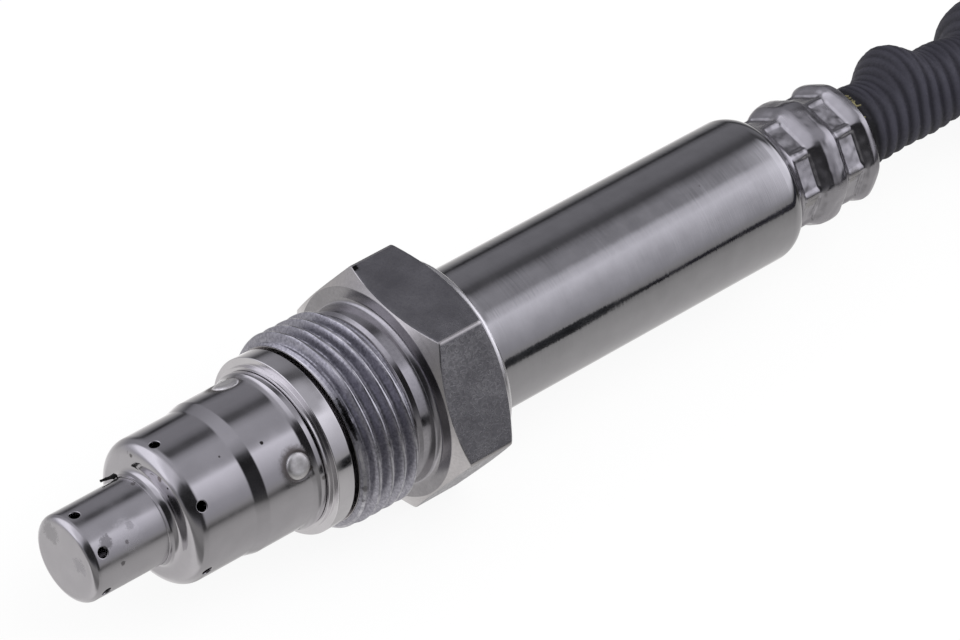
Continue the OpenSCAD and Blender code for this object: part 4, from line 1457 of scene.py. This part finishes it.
    def stretch(self, outline: Outline) -> Outline:
        """Keeps an outline's x rising, so that a hole's stations can be read from it."""
        result: Outline = []
        for x, r in outline:
            if result and x <= result[-1][0] and r > 6:
                x = result[-1][0] + 1e-4
            result.append((x, r))
        return result

    def build(self) -> None:
        """Builds both tubes and the hidden shield's finish."""
        wide, slim, tip = self.sleeve_r, self.tube_r, self.tip_r
        halo = tuple(Mark(self.weld_x - 0.2, self.weld_turn + 90 * k - 2.0, wide, 2.15, "4E453F", 0.8, 0.16, 1.2)
                     for k in range(self.weld_n))
        dirt = (Mark(-4.6, 118, wide, 0.22, "1C1917", 0.95, 0.3), Mark(-8.9, 112, slim, 0.14, "2A2624", 0.8, 0.3),
                Mark(-1.7, 146.5, wide, 0.28, "4A443F", 0.8), Mark(-14.6, 101, 6.1, 0.32, "5A4A3E", 0.6),
                Mark(-14.65, 62, 6.3, 0.3, "453F3A", 0.7), Mark(-14.65, 57, 6.6, 0.28, "3A3531", 0.7),
                Mark(-14.6, 118, 5.6, 0.16, "1E1A18", 0.9), Mark(-14.6, 112, 6.2, 0.16, "2A2421", 0.9),
                Mark(-0.9, 150, wide, 0.3, "5A534C", 0.6), Mark(0.1, 160, 8.1, 0.3, "4A443E", 0.5))
        steel = DrawnSteel("deep_drawn_stainless", marks=halo + dirt).make()
        film = (Mark(-19.6, 132, tip, 1.7, "D8D6DA", 0.3, 0.9), Mark(-18.1, 128, tip, 0.9, "CFCDD2", 0.25, 0.9),
                Mark(-21.9, 128, tip, 0.8, "2E2B2C", 0.45, 0.9), Mark(-20.9, 161, tip, 0.3, "3A3634", 0.6),
                Mark(-19.9, 139, tip, 0.25, "6A6668", 0.6), Mark(-24.2, 40, 2.9, 1.3, "8C8A8D", 0.45, 0.9),
                Mark(-24.2, 150, 2.4, 1.0, "96949A", 0.4, 0.9), Mark(-15.8, 78, tip, 0.3, "3A3430", 0.6),
                Mark(-18.9, 124, tip, 0.5, "8A888C", 0.4))
        self.tip(DrawnSteel("drawn_stainless_tip", roughness=0.15, marks=film).make())
        bead = TurnedSteel("resolidified_weld_bead", "FAF9F9", "C6C3C2", 0.4, 0.9, 0.004, 0.5, 0.006, 0.8).make()
        self.large(steel, bead)
        self.flake(Moulded("caked_soot", "121110", "050505", 0.8, 1.5, 0.2, 0.05).make())
        repaint({"element_shield": steel})


@dataclass
class Housing:
    """The turned housing: sealing collar with its bright lips, journal and spigots."""

    front: float = -5.5
    spigot_r: float = 7.19
    bore_r: float = 5.2
    front_bore_r: float = 3.34
    step_x: float = 0.32
    step_r: float = 8.34
    collar_x: float = 0.88
    collar_r: float = 9.09
    collar_end: float = 2.85
    journal_r: float = 7.3
    journal_end: float = 19.95
    rear_r: float = 7.04
    end: float = 27.95

    def build(self) -> None:
        """Builds the housing and paints the ceramic stack inside it."""
        steel = DrawnSteel("polished_turned_stainless", "E0DEE0", 0.12, wave_height=0.004).make()
        outline = rounded([(self.front, self.front_bore_r, 0), (self.front, self.spigot_r, 0.2),
                           (self.step_x, self.spigot_r, 0), (self.step_x, self.step_r, 0.05),
                           (self.collar_x - 0.03, self.step_r, 0.06), (self.collar_x, self.collar_r, 0.1),
                           (self.collar_end, self.collar_r, 0.15), (self.collar_end, self.journal_r, 0.05),
                           (self.journal_end, self.journal_r, 0), (self.journal_end, self.rear_r, 0),
                           (self.end, self.rear_r, 0.4), (self.end, self.bore_r, 0), (-2.5, self.bore_r, 0),
                           (-2.5, self.front_bore_r, 0)], 7.5)
        hand_over(turned_piece("housing_skin", outline, [steel]), "polished_steel", "sensor_housing")
        alumina = Moulded("sintered_alumina", "F0ECE0", "E4DFD0", 0.45, 1.76, 0.2, 0.01).make()
        talc = Moulded("pressed_talc", "C2C2BA", "ABABA2", 0.85, 1.55, 0.2, 0.05).make()
        nickel = TurnedSteel("nickel_plated_strip", "CFC9B8", "B8B2A2", 0.2, 0.3, 0.001, 0.4, 0.001, 0.3).make()
        leads = Moulded("extruded_fluoropolymer", "E4E4E0", "D4D4CE", 0.4, 1.36, 0.5, 0.005).make()
        repaint(dict.fromkeys(("front_ceramic", "middle_ceramic", "rear_ceramic", "contact_carrier_front",
                               "contact_carrier_rear", "sensing_element"), alumina))
        repaint({"talc_ring_front": talc, "talc_ring_rear": talc, "lead_wires": leads})
        repaint(dict.fromkeys(("packing_ring", "contact_springs", "carrier_clip", "crimp_barrels"), nickel))


class Face(IntEnum):
    """The gland nut's material slots."""

    THREAD = 0
    BRIGHT = 1
    FORGED = 2
    RELIEF = 3
    HUB = 4
    SHOULDER = 5


@dataclass
class GlandNut:
    """The captive nut with a real thread, its relief neck, the chamfered hexagon and the hub."""

    front: float = 3.35
    pitch: float = 1.5
    thread_r: float = 10.0
    root_r: float = 9.12
    thread_end: float = 10.25
    thread_step: float = 0.075
    relief_r: float = 9.2
    cone_x: float = 12.75
    cone_r: float = 10.15
    shoulder_r: float = 10.83
    apothem: float = 11.0
    chamfer: float = 30.0
    hub_x: float = 20.49
    hub_r: float = 10.5
    hub_wear: float = 0.52
    end: float = 21.35
    bore_r: float = 7.35
    recess_r: float = 7.93
    recess_x: float = 19.65
    columns: int = 240
    corner_shares: tuple[float, ...] = (0, 0.008, 0.016, 0.028, 0.05, 0.09, 0.15, 0.22, 0.3, 0.38, 0.46, 0.54, 0.62,
                                        0.7, 0.78, 0.85, 0.91, 0.95, 0.972, 0.984, 0.992)
    front_shares: tuple[float, ...] = (0, 0.35, 0.7, 0.9, 0.97)
    side_shares: tuple[float, ...] = (0.0, 0.02, 0.08, 0.3, 0.5, 0.7, 0.92, 0.98, 1.0)
    rear_shares: tuple[float, ...] = (0.03, 0.12, 0.25, 0.4, 0.6, 0.8, 1.0)

    def thread(self, x: float, turn: float) -> float:
        """Gives the threaded surface's radius, with rounded crests and roots, a lead-in and a run-out.

        Args:
            x: the place along the axis.
            turn: the angle about the axis, in radians.

        Returns:
            The radius.
        """
        phase = ((x - self.pitch * turn / math.tau) / self.pitch) % 1.0
        away = abs(phase - 0.5) * 2
        height = -soft_min(-soft_min((away - 0.2) / 0.62, 1.0, 0.16), 0.0, 0.16)
        worn = 0.035 * math.sin(5 * turn + 9 * x) * math.sin(3 * turn - 4 * x)
        screw = self.root_r + (self.thread_r - self.root_r) * height + worn * height
        lead_in = self.thread_r - 0.85 + (x - self.front) * 0.95
        run_out = self.relief_r + max(0.0, (self.thread_end - x) / 0.22) * (self.thread_r - self.relief_r)
        return soft_min(soft_min(screw, lead_in, 0.12), run_out, 0.1)

    def flat_r(self, turn: float) -> float:
        """Gives the hexagon's radius at an angle, with its corners just broken."""
        off = math.degrees(turn) % 60 - 30
        corner = self.apothem / math.cos(math.radians(30))
        return soft_min(self.apothem / math.cos(math.radians(off)), corner - 0.07, 0.06)

    def turns(self) -> list[float]:
        """Gives the hexagon's column angles in radians, closer together near the corners."""
        return [math.radians(60 * side) + math.radians(60) * share for side in range(6) for share in self.corner_shares]

    def screw(self, skin: Skin, fine: Sequence[float]) -> None:
        """Cuts the thread, and turns the front face, the bore, the recess and the hub behind it.

        Args:
            skin: the nut's skin.
            fine: the column angles in radians.
        """
        start = self.front + 0.02
        count = int((self.thread_end + 0.25 - self.front) / self.thread_step)
        rows = [start + self.thread_step * k for k in range(count)]
        rings = [skin.ring([on_ring(x, self.thread(x, t), t) for t in fine]) for x in rows]
        for a, b in zip(rings, rings[1:]):
            skin.bridge(a, b, Face.THREAD)
        face = rounded([(start, self.thread_r - 0.9, 0), (self.front, self.thread_r - 0.92, 0.05),
                        (self.front, self.bore_r + 0.25, 0.05), (self.front + 0.25, self.bore_r, 0.1),
                        (self.recess_x, self.bore_r, 0.02), (self.recess_x, self.recess_r, 0.05),
                        (self.end - 0.25, self.recess_r, 0.1), (self.end, self.recess_r + 0.25, 0.1),
                        (self.end, self.hub_r, 0.6), (self.hub_x - 0.1, self.hub_r, 0)], 6.0)
        lathe = [skin.ring([on_ring(x, r, t) for t in fine]) for x, r in face]
        for a, b, (x, r) in zip(lathe, lathe[1:], face):
            skin.bridge(b, a, Face.HUB if r > self.hub_r - 0.8 and x > self.hub_x else Face.BRIGHT)
        skin.bridge(lathe[0], rings[0], Face.THREAD)
        self.neck(skin, fine, rings[-1], rows[-1])

    def neck(self, skin: Skin, fine: Sequence[float], last: list[int], last_x: float) -> None:
        """Turns the relief behind the thread and its upright shoulder.

        Args:
            skin: the nut's skin.
            fine: the column angles in radians.
            last: the thread's last ring.
            last_x: that ring's place along the axis.
        """
        start_x, start_r = self.chamfer_start()
        shoulder_x = start_x - 0.05 * self.slope()
        neck = rounded([(last_x, self.relief_r, 0), (self.thread_end + 0.5, self.relief_r - 0.27, 0.15),
                        (self.thread_end + 0.95, self.relief_r, 0.15), (shoulder_x - 0.02, self.relief_r, 0.6),
                        (shoulder_x, self.shoulder_r, 0.03), (start_x, start_r, 0)])
        plain = [last] + [skin.ring([on_ring(x, r, t) for t in fine]) for x, r in neck[1:]]
        for a, b, (_, r) in zip(plain, plain[1:], neck[1:]):
            skin.bridge(a, b, Face.RELIEF if r < self.relief_r + 0.3 else Face.SHOULDER)

    def slope(self) -> float:
        """Gives the chamfers' run along the axis for each millimetre of radius."""
        return math.tan(math.radians(self.chamfer))

    def chamfer_start(self) -> tuple[float, float]:
        """Gives the x and radius at which the front chamfer starts."""
        start_r = self.shoulder_r + 0.05
        return self.cone_x + (start_r - self.cone_r) * self.slope(), start_r

    def layers(self, turns: Sequence[float]) -> list[tuple[Face, list[Vector]]]:
        """Gives the hexagon's rings: front chamfer, flats and rear chamfer, which is worn a little round.

        Args:
            turns: the column angles in radians.

        Returns:
            Each ring's face and points.
        """
        tan = self.slope()
        start_x, start_r = self.chamfer_start()
        radii = [self.flat_r(t) for t in turns]
        result: list[tuple[Face, list[Vector]]] = []
        for share in self.front_shares:
            rises = [(r - start_r) * share for r in radii]
            result.append((Face.BRIGHT, [on_ring(start_x + rise * tan, start_r + rise, t)
                                         for rise, t in zip(rises, turns)]))
        for share in self.side_shares:
            dip = 0.02 if share in (0.0, 1.0) else 0.0
            points = []
            for r, t in zip(radii, turns):
                front_x = self.cone_x + (r - self.cone_r) * tan
                rear_x = self.hub_x - (r - self.hub_r) * tan
                points.append(on_ring(front_x + (rear_x - front_x) * share, r - dip, t))
            result.append((Face.FORGED, points))
        for share in self.rear_shares:
            points = []
            for r, t in zip(radii, turns):
                here = r + (self.hub_r - 0.02 - r) * share
                worn = self.hub_wear * (r - self.hub_r) * share * (1 - share)
                points.append(on_ring(self.hub_x - (here - self.hub_r) * tan + worn, here, t))
            result.append((Face.HUB, points))
        return result

    def hexagon(self, skin: Skin) -> None:
        """Forges the hexagon, whose broken corners are as bright as its chamfer."""
        turns = self.turns()
        layers = self.layers(turns)
        rings = [skin.ring(points) for _, points in layers]
        per_side = len(turns) // 6
        corners = frozenset(c for c in range(len(turns)) if c % per_side in (0, 1, per_side - 2, per_side - 1))
        flats = frozenset(range(len(turns))) - corners
        for a, b, (face_a, _), (face_b, _) in zip(rings, rings[1:], layers, layers[1:]):
            face = min(face_a, face_b)
            skin.bridge(a, b, face, corners if face is Face.FORGED else frozenset())
            if face is Face.FORGED:
                skin.bridge(a, b, Face.BRIGHT, flats)

    def finishes(self) -> list[bpy.types.Material]:
        """Gives the nut's materials in the order of its faces."""
        dirt = (Mark(3.66 + 0.04 * math.sin(1.9 * k), 118 + 1.5 * k, 9.42,
                     0.14 + 0.17 * math.sin(math.pi * (k + 0.5) / 18), "171616", 0.8, 0.5) for k in range(18))
        worn = (Mark(3.7, 176, 9.4, 0.4, "4A4640", 0.5, 0.9), Mark(3.8, 186, 9.4, 0.3, "3A3734", 0.5, 0.9),
                Mark(4.2, 116, 9.9, 0.45, "F2F0F2", 0.8))
        # painted shade standing in for a nick in the flat, drawn as a near-black spot
        nick_shade = Mark(14.3, 62.0, 12.5, 0.5, "0B0B0B", 0.95, 0.8)
        kinds = {
            Face.THREAD: CoatedThread("coated_rolled_thread", marks=(*dirt, *worn)),
            Face.BRIGHT: TurnedSteel("bright_turned_steel", "C6C3C3", "A7A5A6", 0.2, 0.22, 0.0035, 0.3, 0.001, 0.4),
            Face.FORGED: ForgedFlat("cold_forged_flat", marks=(nick_shade,)),
            Face.RELIEF: TurnedSteel("turned_relief_groove", "B8B6BA", "8E8C92", 0.15, 0.25, 0.003, 0.3, 0.001, 0.4),
            Face.HUB: TurnedSteel("burnished_hub", "F2F1F2", "DEDCDE", 0.26, 0.22, 0.002, 0.3, 0.001, 0.3),
            Face.SHOULDER: TurnedSteel("faced_steel_shoulder", "A6A4A6", "7E7C7F", 0.2, 0.25, 0.002, 0.3, 0.001, 0.4)}
        return [kinds[face].make() for face in Face]

    def build(self) -> None:
        """Builds the nut as a threaded part and a hexagon part that meet at the shoulder."""
        skin = Skin("gland_nut_skin")
        self.screw(skin, [math.tau * k / self.columns for k in range(self.columns)])
        self.hexagon(skin)
        hand_over(skin.build(self.finishes(), 34), "nut_steel", "gland_nut", body="nut")


@dataclass
class RearShell:
    """The deep-drawn shell with its round shoulder and the neck crimped in two rows of pads."""

    start: float = 20.0
    shell_r: float = 7.58
    wall: float = 0.5
    round_x: float = 60.95
    round_r: float = 2.6
    neck_x: float = 63.55
    end: float = 74.05
    lip_r: float = 6.4
    pad_turn: float = 30.0
    pads: int = 8
    rows: tuple[float, float] = (64.05, 70.05)
    pad_len: float = 2.28
    columns: int = 256
    ring_step: float = 0.09
    round_points: Pairs = (
        (62.9, 6.55), (63.4, 6.24), (64.0, 6.02), (65.9, 6.0), (66.8, 6.3), (67.6, 6.56), (68.4, 6.66), (69.15, 6.62),
        (69.45, 6.45), (69.8, 6.12), (70.1, 6.0), (72.1, 6.0), (72.85, 6.28), (73.3, 6.42), (73.75, 6.4), (74.05, 6.22))
    pad_points: Pairs = (
        (62.9, 6.8), (63.5, 6.4), (63.85, 5.95), (64.05, 5.62), (64.3, 5.55), (66.1, 5.55), (66.35, 5.66), (67.15, 6.2),
        (67.55, 6.36), (68.5, 6.42), (69.2, 6.34), (69.65, 6.0), (70.0, 5.62), (70.3, 5.55), (72.1, 5.55),
        (72.35, 5.66), (73.0, 6.1), (73.35, 6.22), (74.05, 6.1))

    def round_outline(self, x: float) -> float:
        """Gives the neck's radius before the jaws pressed it."""
        return smooth_curve(self.round_points, x)

    def apothem(self, x: float) -> float:
        """Gives the distance from the axis to the pads' planes."""
        return smooth_curve(self.pad_points, x)

    def neck_r(self, x: float, turn: float) -> float:
        """Gives the crimped neck's radius: flat pads with a deeper stamped floor, and crisp ridges between.

        Args:
            x: the place along the axis.
            turn: the angle about the axis, in radians.

        Returns:
            The radius.
        """
        cell = 360 / self.pads
        off = (math.degrees(turn) - self.pad_turn) % cell - cell / 2
        pad = self.apothem(x) / math.cos(math.radians(off))
        base = soft_min(self.round_outline(x), pad, 0.24)
        side = math.floor((math.degrees(turn) - self.pad_turn) / cell) % self.pads
        for row in self.rows:
            along = ease(row - 0.05, row + 0.2, x) * (1 - ease(row + self.pad_len - 0.25, row + self.pad_len, x))
            across = 1 - ease(16.5, 19.5, abs(off))
            lean = 0.035 * math.sin(2.3 * side + row) - 0.05
            base += along * across * (lean * (x - row - 0.9) - 0.12 + 0.0012 * off * math.sin(1.7 * side + 0.6 * row))
        dent = noise.noise(on_ring(x * 1.1, 5.2, turn)) * 0.042 + noise.noise(on_ring(x * 2.2, 10.0, turn)) * 0.012
        return base + dent * ease(63.2, 64.2, x) * (1 - ease(73.2, 73.9, x))

    def barrel(self) -> Outline:
        """Gives the barrel's outer side, from its front edge to the end of its round shoulder."""
        start, r = self.start, self.shell_r
        outer: Outline = [(start, r - self.wall), (start, r - 0.12), (start + 0.04, r - 0.04), (start + 0.12, r)]
        outer += [(start + 0.12 + (self.round_x - start - 0.12) * k / 12, r) for k in range(1, 13)]
        for angle in (math.radians(a) for a in range(5, 56, 5)):
            outer.append((self.round_x + self.round_r * math.sin(angle),
                          r - self.round_r + self.round_r * math.cos(angle)))
        return outer

    def inside(self) -> Outline:
        """Gives the lip and the inner side, from the neck's end back to the barrel's front edge."""
        lip, end = self.lip_r - self.wall, self.end
        return [(end, 6.12), (end + 0.02, 6.05), (end, lip), (end - 0.25, lip - 0.02), (end - 0.9, lip - 0.05),
                (end - 2, 5.05), (self.neck_x - 0.1, 5.05), (62.85, 5.9), (62.3, 6.55), (61.5, 6.95), (60.9, 7.08),
                (self.start, 7.08)]

    def finishes(self) -> list[bpy.types.Material]:
        """Gives the belt-brushed barrel's and the pressed neck's materials."""
        specks = (Mark(21.2, 141, self.shell_r, 0.2, "3A3636", 0.7), Mark(52.0, 106, self.shell_r, 0.16, "4A4646", 0.6),
                  Mark(34.5, 96, self.shell_r, 0.14, "4A4646", 0.6))
        stains = (Mark(65.1, 172, 5.8, 1.1, "8A8676", 0.3, 0.9), Mark(70.9, 168, 5.8, 1.0, "7E7A6C", 0.3, 0.9),
                  Mark(68.9, 62, 6.4, 0.5, "5A5658", 0.3, 0.9))
        belt = DrawnSteel("belt_brushed_stainless", "BDBCBE", roughness=0.078, wave_mm=7.0, wave_height=0.008,
                          line_mm=0.18, line_height=0.0034, speck_mm=2.7, speck_share=0.0, brush=0.02, marks=specks)
        pressed = DrawnSteel("pressed_polished_stainless", "B6B4B8", roughness=0.18, wave_mm=1.1, wave_height=0.012,
                             line_mm=0.3, line_height=0.0005, speck_mm=1.6, speck_share=0.008, marks=stains)
        return [belt.make(), pressed.make()]

    def build(self) -> None:
        """Builds the shell's brushed barrel and its polished neck as one piece."""
        skin = Skin("rear_shell_skin")
        turns = [math.tau * k / self.columns + math.radians(self.pad_turn) for k in range(self.columns)]
        barrel = self.barrel()
        rings = [skin.ring([on_ring(x, r, t) for t in turns]) for x, r in barrel]
        x = barrel[-1][0] + self.ring_step
        while x < self.end - 0.02:
            rings.append(skin.ring([on_ring(x, self.neck_r(x, t), t) for t in turns]))
            x += self.ring_step
        waves = [self.neck_r(self.end - 0.05, t) - self.round_outline(self.end) for t in turns]
        for x, r in self.inside():
            lean = 0.5 if r > 5.6 and x > 72 else 0.0
            rings.append(skin.ring([on_ring(x, r + lean * wave, t) for wave, t in zip(waves, turns)]))
        for k, (a, b) in enumerate(zip(rings, rings[1:])):
            skin.bridge(a, b, 1 if k >= len(barrel) - 3 else 0)
        hand_over(skin.build(self.finishes(), 50), "shell_steel", "rear_shell")


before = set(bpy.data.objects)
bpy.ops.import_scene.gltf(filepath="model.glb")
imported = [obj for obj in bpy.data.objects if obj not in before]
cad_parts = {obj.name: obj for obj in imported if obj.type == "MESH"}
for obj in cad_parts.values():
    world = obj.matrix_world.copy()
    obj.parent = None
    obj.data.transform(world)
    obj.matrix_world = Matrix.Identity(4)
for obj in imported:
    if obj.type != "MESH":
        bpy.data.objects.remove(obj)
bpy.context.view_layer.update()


def main() -> None:
    """Builds the studio and every sub-assembly in order."""
    logging.basicConfig(level=logging.INFO, format="%(name)s %(message)s")
    Studio().build()
    for part in (Cable(), TipTubes(), Housing(), GlandNut(), RearShell()):
        part.build()
        LOG.info("built %s", type(part).__name__)


if __name__ == "__main__":
    main()
